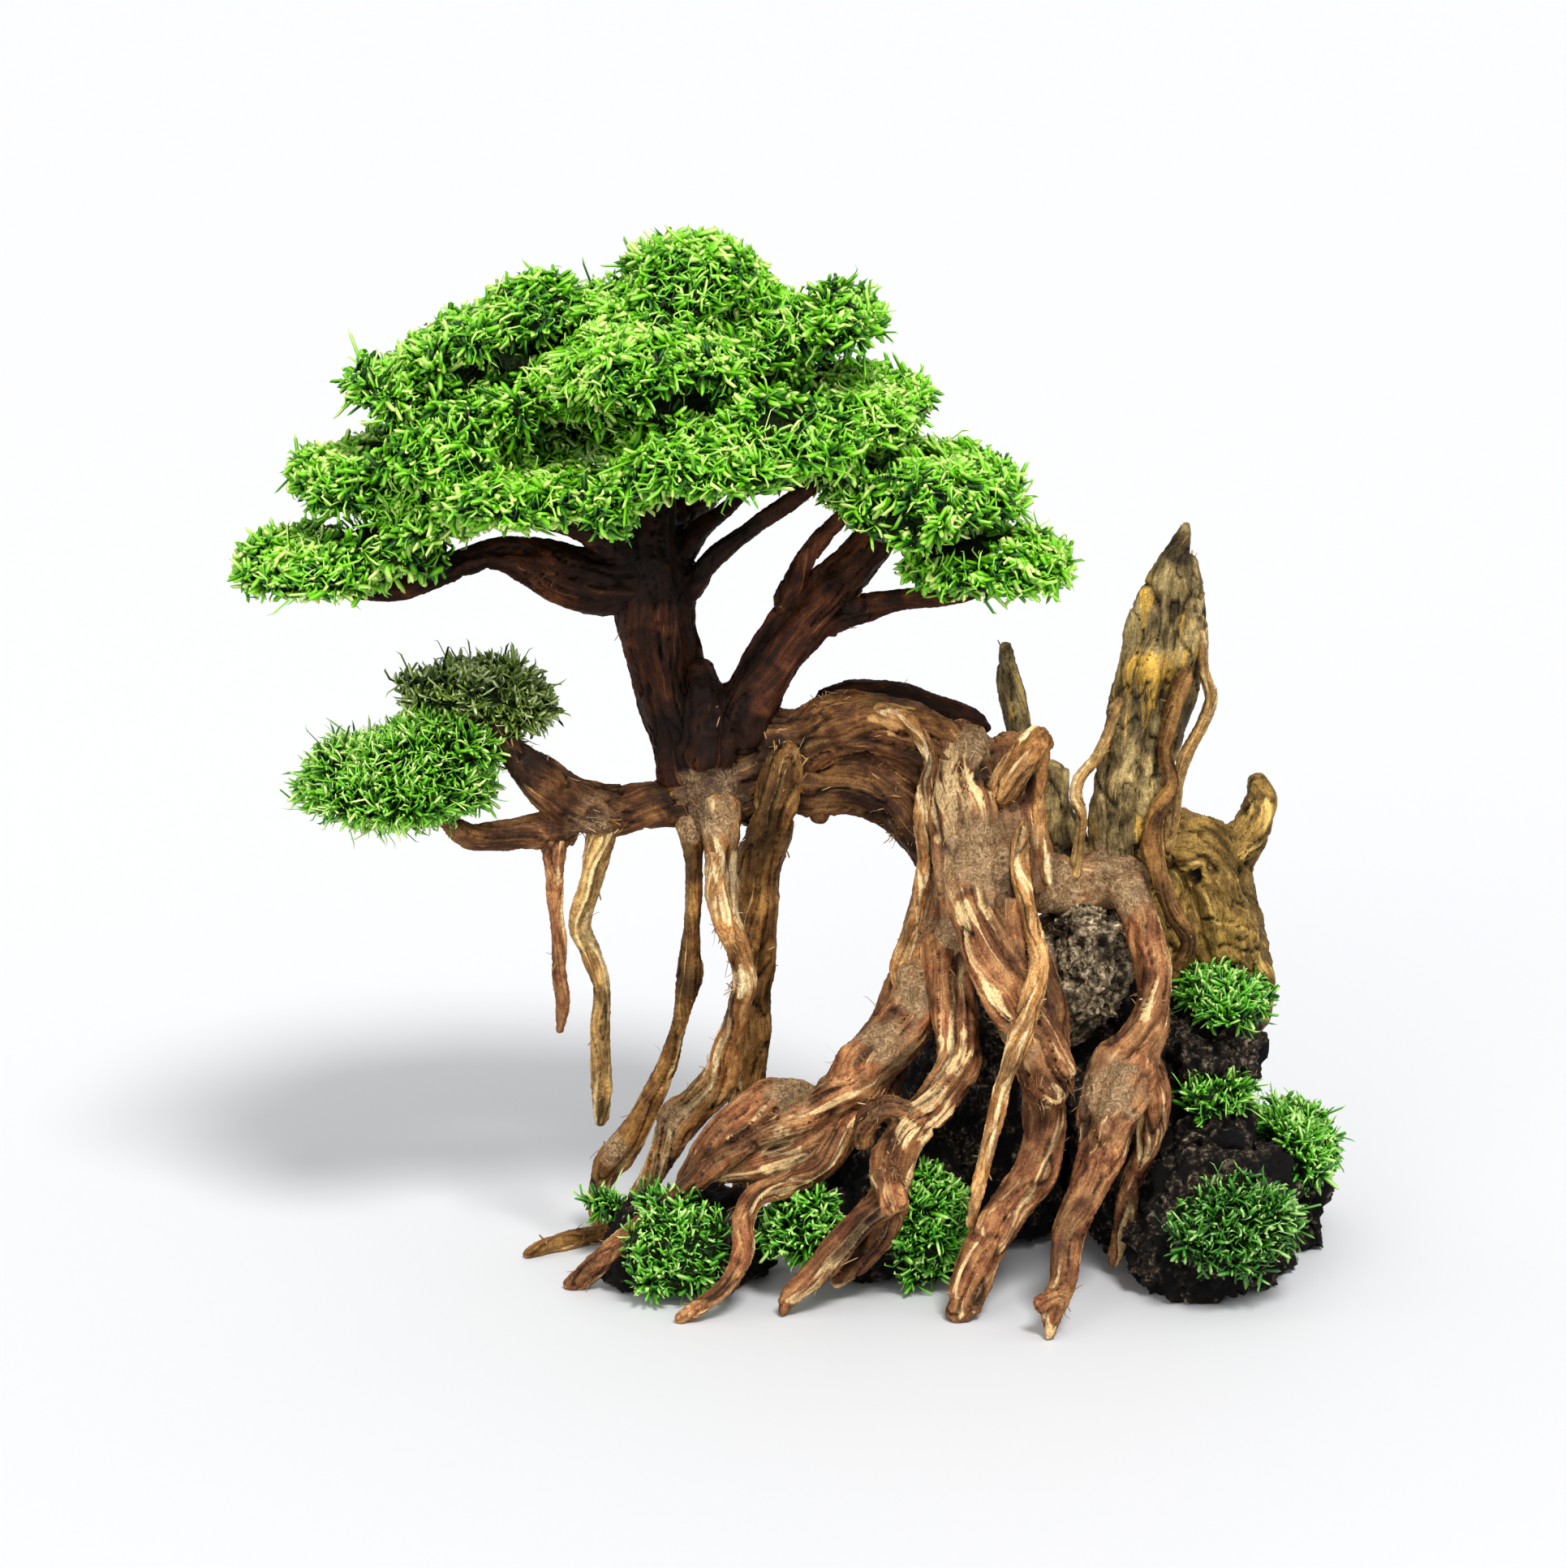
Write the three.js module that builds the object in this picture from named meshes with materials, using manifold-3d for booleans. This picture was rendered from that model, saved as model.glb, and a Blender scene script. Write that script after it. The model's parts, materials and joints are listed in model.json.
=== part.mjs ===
// Driftwood bonsai: weathered wood joined into a leaning tree with aerial roots, on lava stones, with moss.
// Millimetres, +Z up. The origin is on the standing surface, under the middle of the tree.
// +X runs to the side where the tall spire stands, and -Y is the front.
import * as THREE from "three";
import { mergeVertices } from "three/addons/utils/BufferGeometryUtils.js";
import Module from "manifold-3d";

const wasm = await Module();
wasm.setup();

// Driving dimensions
const GAP = 0.35; // clearance between pieces that touch
const LIMB_SIDES = 6; // facets round a limb
const RING_STEP = 11; // spacing of a limb's rings along its route
const CAP = 0.5; // length of a limb's rounded end, as a part of its radius
const GNARL = 0.07; // unevenness of a limb, as a part of its radius
const ROUND_OUT = 1.06; // gives a faceted limb the girth of a round one
const STONE_FACETS = 2; // subdivision of a stone's ball
const PAD_FACETS = 1; // subdivision of a moss pad's ball
const STONE_SQUARENESS = 0.4; // 0 is a ball, 1 is a block
const STONE_ROUGHNESS = 0.07; // unevenness of a stone, as a part of its radius
const PAD_ROUGHNESS = 0.04; // unevenness of a moss pad, as a part of its radius
const PAD_CROWN = 1.25; // height of a pad's dome over its half height
const PAD_BELLY = 0.75; // depth of a pad's underside over its half height
const SPREAD = 400; // side of the block that stands for the table

// Finishes: [colour, roughness]
const FINISH = {
  dark_wood: [0x35241a, 0.8],
  red_wood: [0x7a5232, 0.75],
  pale_wood: [0xb28a5a, 0.7],
  olive_wood: [0x6c6040, 0.85],
  ochre_wood: [0x8a6c3c, 0.85],
  filler: [0x857058, 0.95],
  stone: [0x37322d, 0.95],
  pale_stone: [0x8a8478, 0.95],
  leaf: [0x5f9a33, 0.7],
  moss: [0x3f7a30, 0.75],
};

// Wood. Each piece is one or more limbs that grow together, and each limb is a route of
// [x, y, z, radius] points. A piece is cut to fit the pieces that come before it.
const WOOD = {
  // thin dead strands that lie on the big pieces
  arch_strand: ["pale_wood", [
    [[25, -6, 175, 2], [33, -11, 173, 2.7], [39, -15, 166, 2.9], [41, -17, 160, 2.7], [39, -18, 153, 2.5],
      [38, -18, 143, 2.5], [39, -18, 130, 2.5], [37, -20, 118, 2.5], [34, -21, 106, 2.7],
      [31, -22, 96, 2.5], [32, -22, 88, 1.7]],
  ]],
  spire_left_strand: ["pale_wood", [
    [[100, 5, 175, 1.6], [97, 3, 168, 1.7], [93, 0, 159, 1.7], [87, -3, 152, 1.7], [86, -4, 147, 1.7],
      [88, -5, 141, 1.7], [87, -6, 132, 1.7], [86, -7, 123, 1.7]],
  ]],
  spire_right_strand: ["pale_wood", [
    [[125, 7, 196, 1.7], [126, 6, 184, 2], [128, 5, 176, 2.2], [125, 5, 167, 2.2], [121, 4, 159, 2.2],
      [118, 3, 150, 2.2], [117, 3, 141, 2.2], [115, 2, 130, 2]],
  ]],
  spire_brown_strand: ["red_wood", [
    [[120, 4, 185, 2.5], [116, 3, 174, 2.7], [114, 2, 159, 2.7], [116, 2, 150, 2.5], [111, 0, 140, 3],
      [110, -2, 131, 3.5], [113, -6, 120, 3.2], [117, -8, 110, 3.2], [121, -8, 102, 3], [118, -6, 93, 2]],
  ]],
  strand_root: ["pale_wood", [
    [[69, -16, 142, 2.5], [68, -20, 131, 2.5], [70, -27, 119, 2.5], [72, -39, 104, 2.7], [68, -48, 93, 2.9],
      [64, -51, 81, 2.9], [61, -51, 70, 2.2], [60, -53, 59, 2], [57, -57, 46, 2], [54, -60, 35, 2],
      [52, -62, 27, 1.2]],
  ]],
  knuckle: ["pale_wood", [
    [[62, -14, 150, 4.6], [66, -15, 157, 5], [71, -14, 163, 5.2], [75, -12, 167, 5]],
  ]],

  // the tree
  left_trunk: ["dark_wood", [
    [[-28, 0, 154, 11.5], [-34, 0, 167, 11.5], [-40, 0, 182, 11.5], [-43, 0, 197, 12], [-45, 0, 212, 13.5],
      [-46, 0, 225, 11.5], [-45, 2, 236, 9], [-43, 4, 252, 6], [-41, 5, 272, 4], [-36, 5, 291, 2.5]],
    [[-50, -2, 215, 11], [-61, -3, 215, 10], [-71, -5, 217, 9], [-80, -7, 221, 7.5], [-90, -9, 223, 5],
      [-100, -11, 221, 4], [-110, -12, 217, 4], [-120, -13, 213, 3.2], [-132, -14, 212, 2], [-145, -14, 214, 1.2]],
    [[-52, -4, 223, 6.5], [-64, -12, 231, 4], [-78, -20, 236, 2.7], [-93, -26, 240, 2]],
    [[-33, 0, 209, 4], [-26, -3, 218, 2.7], [-19, -6, 225, 2.3], [-11, -8, 231, 2.2], [-3, -10, 237, 2.2],
      [7, -12, 244, 1.7]],
    [[-36, 2, 220, 5], [-30, 6, 228, 3.7], [-23, 10, 233, 2.5], [-14, 14, 240, 1.7]],
    [[-45, 8, 226, 6.5], [-50, 35, 233, 4], [-57, 60, 239, 2.2]],
    [[-41, 8, 229, 6], [-25, 35, 236, 3.5], [-13, 60, 241, 2]],
  ]],
  right_trunk: ["dark_wood", [
    [[-19, -2, 166, 8.5], [-14, -4, 180, 9], [-7, -5, 192, 8.5], [2, -6, 203, 9.4], [10, -6, 213, 8.5],
      [19, -5, 221, 6.7], [26, -4, 229, 5.5], [31, -2, 243, 3.5]],
    [[-3, -8, 208, 4.5], [1, -10, 219, 3.2], [8, -11, 229, 3], [16, -12, 237, 2.2]],
    [[7, -6, 203, 6], [19, -8, 206, 5], [32, -10, 210, 4], [44, -12, 211, 3.4], [54, -13, 213, 2.5],
      [67, -14, 220, 1.5]],
    [[15, 0, 218, 5.5], [25, 30, 227, 3.2], [36, 55, 232, 2]],
  ]],
  arch_log: ["red_wood", [
    [[-11, 0, 163, 10], [1, 0, 164, 9.5], [13, 2, 168, 10.5], [25, 2, 168, 11], [37, 0, 164, 11.5],
      [50, -4, 155, 12.5], [57, -6, 140, 12.5]],
    [[-8, 2, 150, 9], [5, 2, 149, 9], [17, 2, 150, 9.5], [29, 0, 146, 9.5], [38, -4, 137, 8.5], [45, -8, 125, 7.5]],
    [[7, 0, 144, 4], [8, 0, 139, 2.5]],
  ]],
  arch_ridge: ["dark_wood", [
    [[7, 12, 172, 5.5], [17, 15, 174, 5.6], [30, 18, 173, 5.6], [43, 20, 169, 5.1], [54, 20, 166, 4.1],
      [59, 18, 164, 2.5]],
  ]],
  side_branch: ["red_wood", [
    [[-30, 0, 145, 7.5], [-45, -4, 144, 6.7], [-59, -7, 143, 8.5], [-70, -10, 147, 8.5], [-79, -12, 155, 7.4],
      [-86, -13, 163, 5], [-94, -12, 172, 3], [-102, -8, 179, 2]],
    [[-70, -10, 138, 6.5], [-81, -12, 138, 4.7], [-91, -14, 137, 4.5], [-100, -15, 137, 4.2],
      [-108, -15, 143, 2.5], [-119, -14, 148, 1.5]],
  ]],
  collar: ["filler", [
    [[-42, 0, 144, 6.5], [-30, 0, 148, 10.5], [-18, -2, 151, 11.5], [-6, -2, 157, 10.5]],
    [[-28, 0, 159, 11.5], [-25, -4, 147, 11], [-24, -6, 139, 8.5]],
    [[-13, 6, 139, 7.5], [-9, 2, 151, 9.5]],
  ]],

  // the stump that ends the arch, with its horn, spire and the stub behind it
  stump: ["filler", [
    [[52, -4, 166, 8.5], [51, -8, 153, 12.5], [52, -12, 139, 13.5], [54, -14, 124, 14.5], [51, -14, 111, 13],
      [45, -14, 100, 11], [41, -14, 89, 9]],
    [[65, 0, 162, 8.5], [68, -4, 147, 10], [69, -8, 133, 11], [72, -8, 120, 11]],
    [[72, -6, 121, 10], [85, 0, 118, 9], [98, 4, 119, 10], [105, 2, 115, 8.5]],
  ]],
  spire: ["olive_wood", [
    [[99, 6, 119, 8], [98, 8, 137, 8], [102, 10, 157, 8], [106, 12, 175, 8], [110, 13, 195, 8], [114, 14, 212, 6],
      [119, 13, 225, 2.5], [120, 13, 229, 1.2]],
    [[108, 8, 127, 7], [109, 10, 144, 7], [113, 12, 162, 7.5], [117, 13, 177, 7.5], [121, 13, 192, 7],
      [122, 13, 206, 5], [121, 13, 218, 2.5]],
    [[79, 12, 152, 6], [80, 12, 138, 7.5], [86, 11, 124, 8.5], [97, 8, 118, 8]],
  ]],
  horn: ["olive_wood", [
    [[72, 11, 142, 6.5], [71, 16, 154, 5.8], [70, 19, 163, 5.1], [68, 21, 173, 4.3], [66, 22, 182, 3.3],
      [65, 23, 189, 1.8]],
  ]],
  tan_stump: ["ochre_wood", [
    [[115, 19, 127, 9], [127, 21, 121, 12], [132, 23, 108, 14.5], [134, 25, 95, 16.5], [138, 27, 82, 14],
      [141, 29, 68, 10]],
    [[114, 21, 118, 10], [118, 23, 102, 12], [122, 25, 88, 12]],
    [[136, 22, 122, 8], [142, 22, 131, 5.8], [145, 23, 140, 4.8], [144, 23, 147, 2.6]],
  ]],

  // roots of the stump
  long_root: ["red_wood", [
    [[38, -18, 97, 8.5], [36, -20, 88, 10.5], [30, -26, 77, 10.5], [21, -32, 69, 9.5], [12, -36, 61, 7.5],
      [1, -38, 54, 5.2], [-13, -40, 48, 4], [-25, -42, 40, 3.7], [-37, -42, 30, 3.5], [-50, -42, 19, 3.5],
      [-61, -40, 8, 3.7], [-69, -38, 0, 3.2]],
    [[20, -34, 55, 6], [7, -34, 45, 7], [-8, -36, 40, 6.4], [-23, -38, 37, 4.5]],
    [[6, -29, 58, 5], [-6, -31, 58, 7], [-17, -33, 51, 6.5], [-27, -35, 42, 5], [-34, -38, 34, 3.5]],
  ]],
  knot_root: ["red_wood", [
    [[46, -18, 104, 7.5], [47, -25, 94, 7.5], [49, -34, 82, 7], [49, -40, 72, 6.4], [43, -45, 63, 6.6], [35, -50, 55, 6.4],
      [30, -54, 46, 6.4], [28, -58, 36, 6], [19, -58, 27, 5.4], [13, -60, 20, 5], [6, -62, 12, 4.2],
      [-2, -65, 5, 3.2], [-4, -66, 1, 2]],
    [[27, -60, 42, 5.4], [30, -66, 35, 4.9]],
    [[30, -54, 32, 4.9], [24, -52, 20, 4.9], [17, -52, 11, 3.5], [12, -52, 6, 2]],
    [[36, -50, 58, 4], [27, -50, 61, 4], [21, -48, 55, 4.4], [20, -46, 48, 3]],
  ]],
  elbow_root: ["red_wood", [
    [[16, -38, 50, 5], [7, -44, 40, 4.2], [-4, -50, 36, 3.9], [-13, -56, 34, 3.9], [-16, -60, 28, 3.7],
      [-16, -63, 19, 3.4], [-20, -67, 11, 3.4], [-28, -70, 5, 3.2], [-35, -72, 1, 2.2]],
  ]],
  broad_root: ["red_wood", [
    [[53, -16, 140, 7.5], [53, -24, 128, 8], [55, -32, 116, 8], [60, -38, 102, 8.4], [67, -42, 88, 8.8], [73, -46, 75, 9.2],
      [76, -48, 66, 8.4]],
    [[63, -16, 134, 6], [64, -24, 122, 6.4], [67, -32, 108, 7], [75, -38, 92, 7], [78, -42, 77, 6]],
  ]],
  post_root: ["red_wood", [
    [[74, -36, 63, 6.4], [75, -42, 49, 6.8], [71, -48, 38, 7], [63, -54, 30, 7], [56, -60, 19, 7],
      [52, -66, 9, 6.8], [49, -70, 2, 6.5]],
  ]],
  fork_root: ["red_wood", [
    [[102, -8, 120, 6.5], [107, -16, 109, 6], [109, -22, 98, 6.5], [109, -28, 87, 6], [105, -34, 77, 8],
      [99, -39, 68, 11], [95, -45, 57, 10], [91, -52, 45, 7], [85, -60, 33, 5.6], [81, -68, 24, 5],
      [80, -76, 15, 4], [77, -84, 9, 4], [75, -89, 1, 1.6]],
    [[77, -84, 11, 3.4], [72, -86, 10, 2.7]],
    [[106, -34, 70, 7], [109, -36, 58, 5.5], [107, -36, 45, 4.6], [103, -34, 32, 3.8], [101, -30, 17, 3],
      [98, -24, 4, 2]],
  ]],
  back_root_left: ["red_wood", [
    [[52, -2, 132, 9], [50, 14, 108, 9], [44, 34, 78, 8.5], [32, 54, 46, 7.5], [22, 70, 18, 6], [18, 80, 2, 5]],
  ]],
  back_root_mid: ["red_wood", [
    [[88, 6, 118, 9], [92, 24, 100, 9], [97, 42, 74, 8], [98, 60, 44, 7], [96, 74, 18, 6], [94, 84, 2, 5]],
  ]],
  back_root_right: ["red_wood", [
    [[112, 22, 108, 8], [124, 38, 84, 8], [134, 52, 56, 7], [142, 64, 26, 6], [146, 74, 3, 5]],
  ]],

  // aerial roots: three reach the ground, two hang free
  thin_post: ["red_wood", [
    [[-33, -6, 140, 4.5], [-32, -7, 129, 3.2], [-32, -7, 115, 2.8], [-33, -6, 102, 2.5], [-33, -5, 93, 3.8],
      [-35, -2, 82, 2.8], [-38, 2, 70, 2.5], [-42, 6, 58, 2.8], [-47, 9, 48, 3.3], [-51, 12, 39, 3.6],
      [-57, 15, 29, 5.4], [-61, 17, 22, 4.4], [-63, 19, 12, 2.6], [-63, 21, 1, 2.1]],
  ]],
  frayed_post: ["pale_wood", [
    [[-23, -10, 146, 6.5], [-22, -12, 134, 5.4], [-22, -13, 121, 5.4], [-21, -12, 111, 4], [-17, -11, 101, 3.2],
      [-15, -10, 92, 3.3], [-17, -8, 81, 3.3], [-20, -6, 70, 3.8], [-24, -4, 59, 5], [-31, -2, 51, 6],
      [-38, 0, 45, 7], [-41, 2, 36, 5.2], [-45, 4, 27, 4], [-50, 6, 16, 3.3], [-53, 8, 6, 2.8],
      [-54, 9, 1, 2.4]],
  ]],
  back_post: ["red_wood", [
    [[-6, 13, 144, 8], [-7, 14, 132, 8.4], [-8, 17, 118, 7], [-10, 20, 92, 6.8], [-11, 22, 68, 6.6],
      [-12, 26, 49, 6.4], [-13, 32, 28, 6], [-14, 38, 2, 5.4]],
  ]],
  hanging_long: ["pale_wood", [
    [[-59, -10, 138, 4.5], [-61, -11, 128, 3.2], [-63, -13, 119, 3], [-66, -14, 109, 3], [-63, -14, 100, 3],
      [-60, -14, 88, 2.7], [-60, -14, 75, 2.8], [-60, -14, 60, 2.5], [-61, -14, 47, 1.8]],
  ]],
  hanging_short: ["red_wood", [
    [[-74, -12, 135, 4.5], [-74, -12, 124, 2.5], [-74, -13, 116, 2.2], [-73, -13, 106, 2.2], [-73, -14, 93, 2.2],
      [-72, -14, 84, 2.2], [-73, -14, 75, 1.3]],
  ]],
  left_tip_root: ["pale_wood", [
    [[-57, 13, 4, 3.1], [-64, 8, 3, 2.8], [-72, 2, 3, 2.8], [-78, -2, 2.5, 2.6], [-84, -7, 1.5, 1.6]],
  ]],
};

// Lava stones: [finish, seed, [x, y, z, half width, half depth, half height]]. They are cut flat where they stand.
const STONES = {
  center_rock: ["pale_stone", 3, [89, 1, 93, 18, 24, 27]],
  core_left_rock: ["stone", 5, [62, 24, 34, 30, 42, 53]],
  core_right_rock: ["stone", 8, [107, 24, 34, 30, 46, 54]],
  shelf_rock: ["stone", 12, [131, 8, 65, 19, 30, 14]],
  ledge_rock: ["stone", 15, [126, 0, 39, 19, 32, 15]],
  boulder: ["stone", 21, [128, -20, 17, 31, 43, 29]],
  corner_rock: ["stone", 26, [156, 24, 12, 17, 40, 19]],
  left_rock: ["stone", 31, [-33, -22, 9, 30, 35, 18]],
  mid_rock: ["stone", 37, [27, -9, 17, 30, 38, 31]],
};

// Moss pads: [finish, lobes], where each lobe is [x, y, z, half width, half depth, half height].
const PADS = {
  pad_top: ["leaf", [[-31, 0, 306, 28, 34, 16], [-44, -22, 282, 37, 44, 19], [-56, 0, 292, 20, 36, 16],
    [-4, 2, 288, 18, 36, 16], [-66, -14, 275, 25, 36, 15]]],
  pad_upper_left: ["leaf", [[-77, 2, 295, 22, 36, 14], [-101, 0, 284, 21, 38, 14], [-123, 2, 269, 20, 38, 14]]],
  pad_upper_right: ["leaf", [[10, 4, 290, 21, 38, 14], [19, 4, 266, 28, 46, 18]]],
  pad_left: ["leaf", [[-133, 0, 245, 24, 42, 14], [-103, -20, 257, 30, 40, 15], [-81, -36, 247, 31, 40, 15],
    [-88, -12, 272, 27, 40, 14], [-109, -22, 236, 24, 32, 10], [-118, -8, 258, 26, 36, 13]]],
  pad_lowest_left: ["leaf", [[-143, -12, 221, 32, 42, 14], [-124, -14, 230, 24, 36, 11]]],
  pad_front_center: ["leaf", [[-26, -48, 257, 31, 38, 14], [-2, -28, 261, 29, 40, 15],
    [-22, -30, 269, 34, 36, 13], [-58, -42, 247, 22, 32, 12]]],
  pad_right: ["leaf", [[39, -8, 243, 33, 52, 17]]],
  pad_lowest_right: ["leaf", [[58, -14, 222, 30, 42, 14]]],
  pad_back: ["leaf", [[-116, 34, 244, 32, 40, 14], [-78, 48, 256, 36, 38, 16], [-36, 50, 250, 38, 38, 16],
    [8, 46, 246, 36, 40, 16]]],
  pad_back_high: ["leaf", [[-66, 38, 280, 34, 36, 15], [-20, 38, 282, 32, 36, 15]]],
  side_pad_low: ["leaf", [[-122, -14, 153, 34, 36, 18], [-107, -8, 166, 24, 30, 12]]],
  side_pad_high: ["leaf", [[-98, 4, 175, 28, 30, 15]]],
  moss_left_small: ["moss", [[-55, -8, 14, 8, 11, 7]]],
  moss_left_front: ["moss", [[-36, -48, 17, 19, 15, 18]]],
  moss_mid_front: ["moss", [[2, -46, 21, 15, 15, 17]]],
  moss_mid_right: ["moss", [[39, -40, 21, 15, 17, 22]]],
  moss_ball: ["moss", [[132, -56, 26, 22, 17, 18]]],
  moss_slope: ["moss", [[155, 10, 31, 17, 34, 16]]],
  moss_shelf: ["moss", [[133, 4, 81, 16, 28, 12]]],
  moss_ledge: ["moss", [[126, -6, 53, 13, 26, 8]]],
};

// A closed geometry, with its doubled vertices joined, as a solid that can be joined and cut.
function solid(geometry) {
  geometry.deleteAttribute("normal");
  geometry.deleteAttribute("uv");
  const welded = mergeVertices(geometry, 1e-3);
  return new wasm.Manifold(new wasm.Mesh({
    numProp: 3,
    vertProperties: new Float32Array(welded.attributes.position.array),
    triVerts: new Uint32Array(welded.index.array),
  }));
}

function geometryOf(body) {
  const mesh = body.getMesh();
  return new THREE.BufferGeometry()
    .setAttribute("position", new THREE.BufferAttribute(mesh.vertProperties, 3))
    .setIndex(new THREE.BufferAttribute(mesh.triVerts, 1))
    .toNonIndexed();
}

// Moves every vertex of a geometry by a function of its place and its number.
function reshape(geometry, move) {
  const places = geometry.attributes.position;
  const v = new THREE.Vector3();
  for (let i = 0; i < places.count; i++) {
    v.fromBufferAttribute(places, i);
    places.setXYZ(i, ...move(v, i).toArray());
  }
  return geometry;
}

// A tapered, slightly uneven round limb with closed ends, bent from a ball along its route.
function limb(points, grow) {
  const stops = points.map(([x, y, z]) => new THREE.Vector3(x, y, z));
  const route = new THREE.CatmullRomCurve3(stops, false, "centripetal");
  const steps = Math.max(2, Math.round(route.getLength() / RING_STEP));
  const frames = route.computeFrenetFrames(steps);
  const radius = (u) => {
    const at = route.getUtoTmapping(u) * (points.length - 1);
    const stop = Math.min(Math.floor(at), points.length - 2);
    return THREE.MathUtils.lerp(points[stop][3], points[stop + 1][3], at - stop);
  };
  return solid(reshape(new THREE.SphereGeometry(1, LIMB_SIDES, steps + 2), (v, i) => {
    const row = Math.floor(i / (LIMB_SIDES + 1));
    const turn = ((i % (LIMB_SIDES + 1)) / LIMB_SIDES) * 2 * Math.PI;
    const ring = THREE.MathUtils.clamp(row - 1, 0, steps);
    const r = radius(ring / steps) * ROUND_OUT;
    const end = row - 1 - ring; // -1 at the first pole, 1 at the last, 0 between
    const out = end ? 0 : r * (1 + GNARL * Math.sin(3 * turn + 1.9 * ring)) + grow;
    return route.getPointAt(ring / steps)
      .addScaledVector(frames.tangents[ring], end * (CAP * r + grow))
      .addScaledVector(frames.normals[ring], out * Math.cos(turn))
      .addScaledVector(frames.binormals[ring], -out * Math.sin(turn));
  }));
}

// A slow, repeatable unevenness between -1 and 1 over a ball's directions.
function unevenness(v, seed) {
  const broad = Math.sin(2.6 * v.x + seed) * Math.cos(2.9 * v.y - 1.7 * seed);
  const fine = Math.sin(5.3 * v.y + 4.1 * v.z + 2.3 * seed) * Math.cos(4.7 * v.x - seed);
  return 0.6 * broad + 0.4 * fine;
}

function stone([x, y, z, wide, deep, high], seed, grow) {
  return solid(reshape(new THREE.IcosahedronGeometry(1, STONE_FACETS), (v) => {
    const block = 1 / Math.max(Math.abs(v.x), Math.abs(v.y), Math.abs(v.z));
    const r = 1 + 0.5 * STONE_SQUARENESS * (block - 1) + STONE_ROUGHNESS * (unevenness(v, seed) - 1);
    return new THREE.Vector3(
      x + v.x * (r * wide + grow),
      y + v.y * (r * deep + grow),
      z + v.z * (r * high + grow),
    );
  }));
}

function lobe([x, y, z, wide, deep, high], grow) {
  return solid(reshape(new THREE.IcosahedronGeometry(1, PAD_FACETS), (v) => {
    const r = 1 + PAD_ROUGHNESS * (unevenness(v, x) - 1);
    const rise = high * (v.z > 0 ? PAD_CROWN : PAD_BELLY);
    return new THREE.Vector3(
      x + v.x * (r * wide + grow),
      y + v.y * (r * deep + grow),
      z + high * (1 - PAD_CROWN) + v.z * (r * rise + grow),
    );
  }));
}

const join = (bodies) => bodies.reduce((whole, body) => whole.add(body));

// Every piece in the order of cutting: wood, then stones, then moss, each as a maker of its solid.
const pieces = [
  ...Object.entries(WOOD).map(([name, [finish, limbs]]) =>
    ({ name, finish, make: (grow) => join(limbs.map((points) => limb(points, grow))) })),
  ...Object.entries(STONES).map(([name, [finish, seed, size]]) =>
    ({ name, finish, make: (grow) => stone(size, seed, grow) })),
  ...Object.entries(PADS).map(([name, [finish, lobes]]) =>
    ({ name, finish, make: (grow) => join(lobes.map((size) => lobe(size, grow))) })),
];

const air = solid(new THREE.BoxGeometry(SPREAD * 2, SPREAD * 2, SPREAD).translate(0, 0, SPREAD / 2));

function apart(a, b) {
  const p = a.boundingBox();
  const q = b.boundingBox();
  return [0, 1, 2].some((axis) => p.min[axis] > q.max[axis] || p.max[axis] < q.min[axis]);
}

const bonsai = new THREE.Group();
const taken = [];
for (const { name, finish, make } of pieces) {
  let body = make(0).intersect(air);
  for (const other of taken) {
    if (!apart(body, other)) body = body.subtract(other);
  }
  taken.push(make(GAP));
  const [main] = body.decompose().sort((a, b) => b.volume() - a.volume());
  const [color, roughness] = FINISH[finish];
  const mesh = new THREE.Mesh(geometryOf(main), new THREE.MeshStandardMaterial({ color, roughness, metalness: 0 }));
  mesh.name = name;
  bonsai.add(mesh);
}

export default bonsai;
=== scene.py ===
# Driftwood bonsai: weathered wood with aerial roots, on lava stones, dressed with living moss.
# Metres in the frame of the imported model; tables of routes are in millimetres and are scaled by MM.
import json
import bpy
import numpy as np
from mathutils.bvhtree import BVHTree
from math import cos, pi, radians, sin
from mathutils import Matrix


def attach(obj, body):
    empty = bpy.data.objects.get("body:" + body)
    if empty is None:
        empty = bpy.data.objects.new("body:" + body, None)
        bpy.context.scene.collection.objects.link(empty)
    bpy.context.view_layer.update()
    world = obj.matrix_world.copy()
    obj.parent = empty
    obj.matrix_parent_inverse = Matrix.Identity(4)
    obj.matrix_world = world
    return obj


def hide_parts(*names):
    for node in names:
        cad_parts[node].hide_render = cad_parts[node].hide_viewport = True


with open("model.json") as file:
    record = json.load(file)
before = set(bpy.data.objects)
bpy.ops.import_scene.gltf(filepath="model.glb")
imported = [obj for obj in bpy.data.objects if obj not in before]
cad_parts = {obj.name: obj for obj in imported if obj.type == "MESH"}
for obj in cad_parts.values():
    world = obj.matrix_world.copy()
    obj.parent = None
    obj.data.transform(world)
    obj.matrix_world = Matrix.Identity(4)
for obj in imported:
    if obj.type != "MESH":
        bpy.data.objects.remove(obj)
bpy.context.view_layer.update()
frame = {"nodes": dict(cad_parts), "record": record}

MM = 0.001

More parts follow.
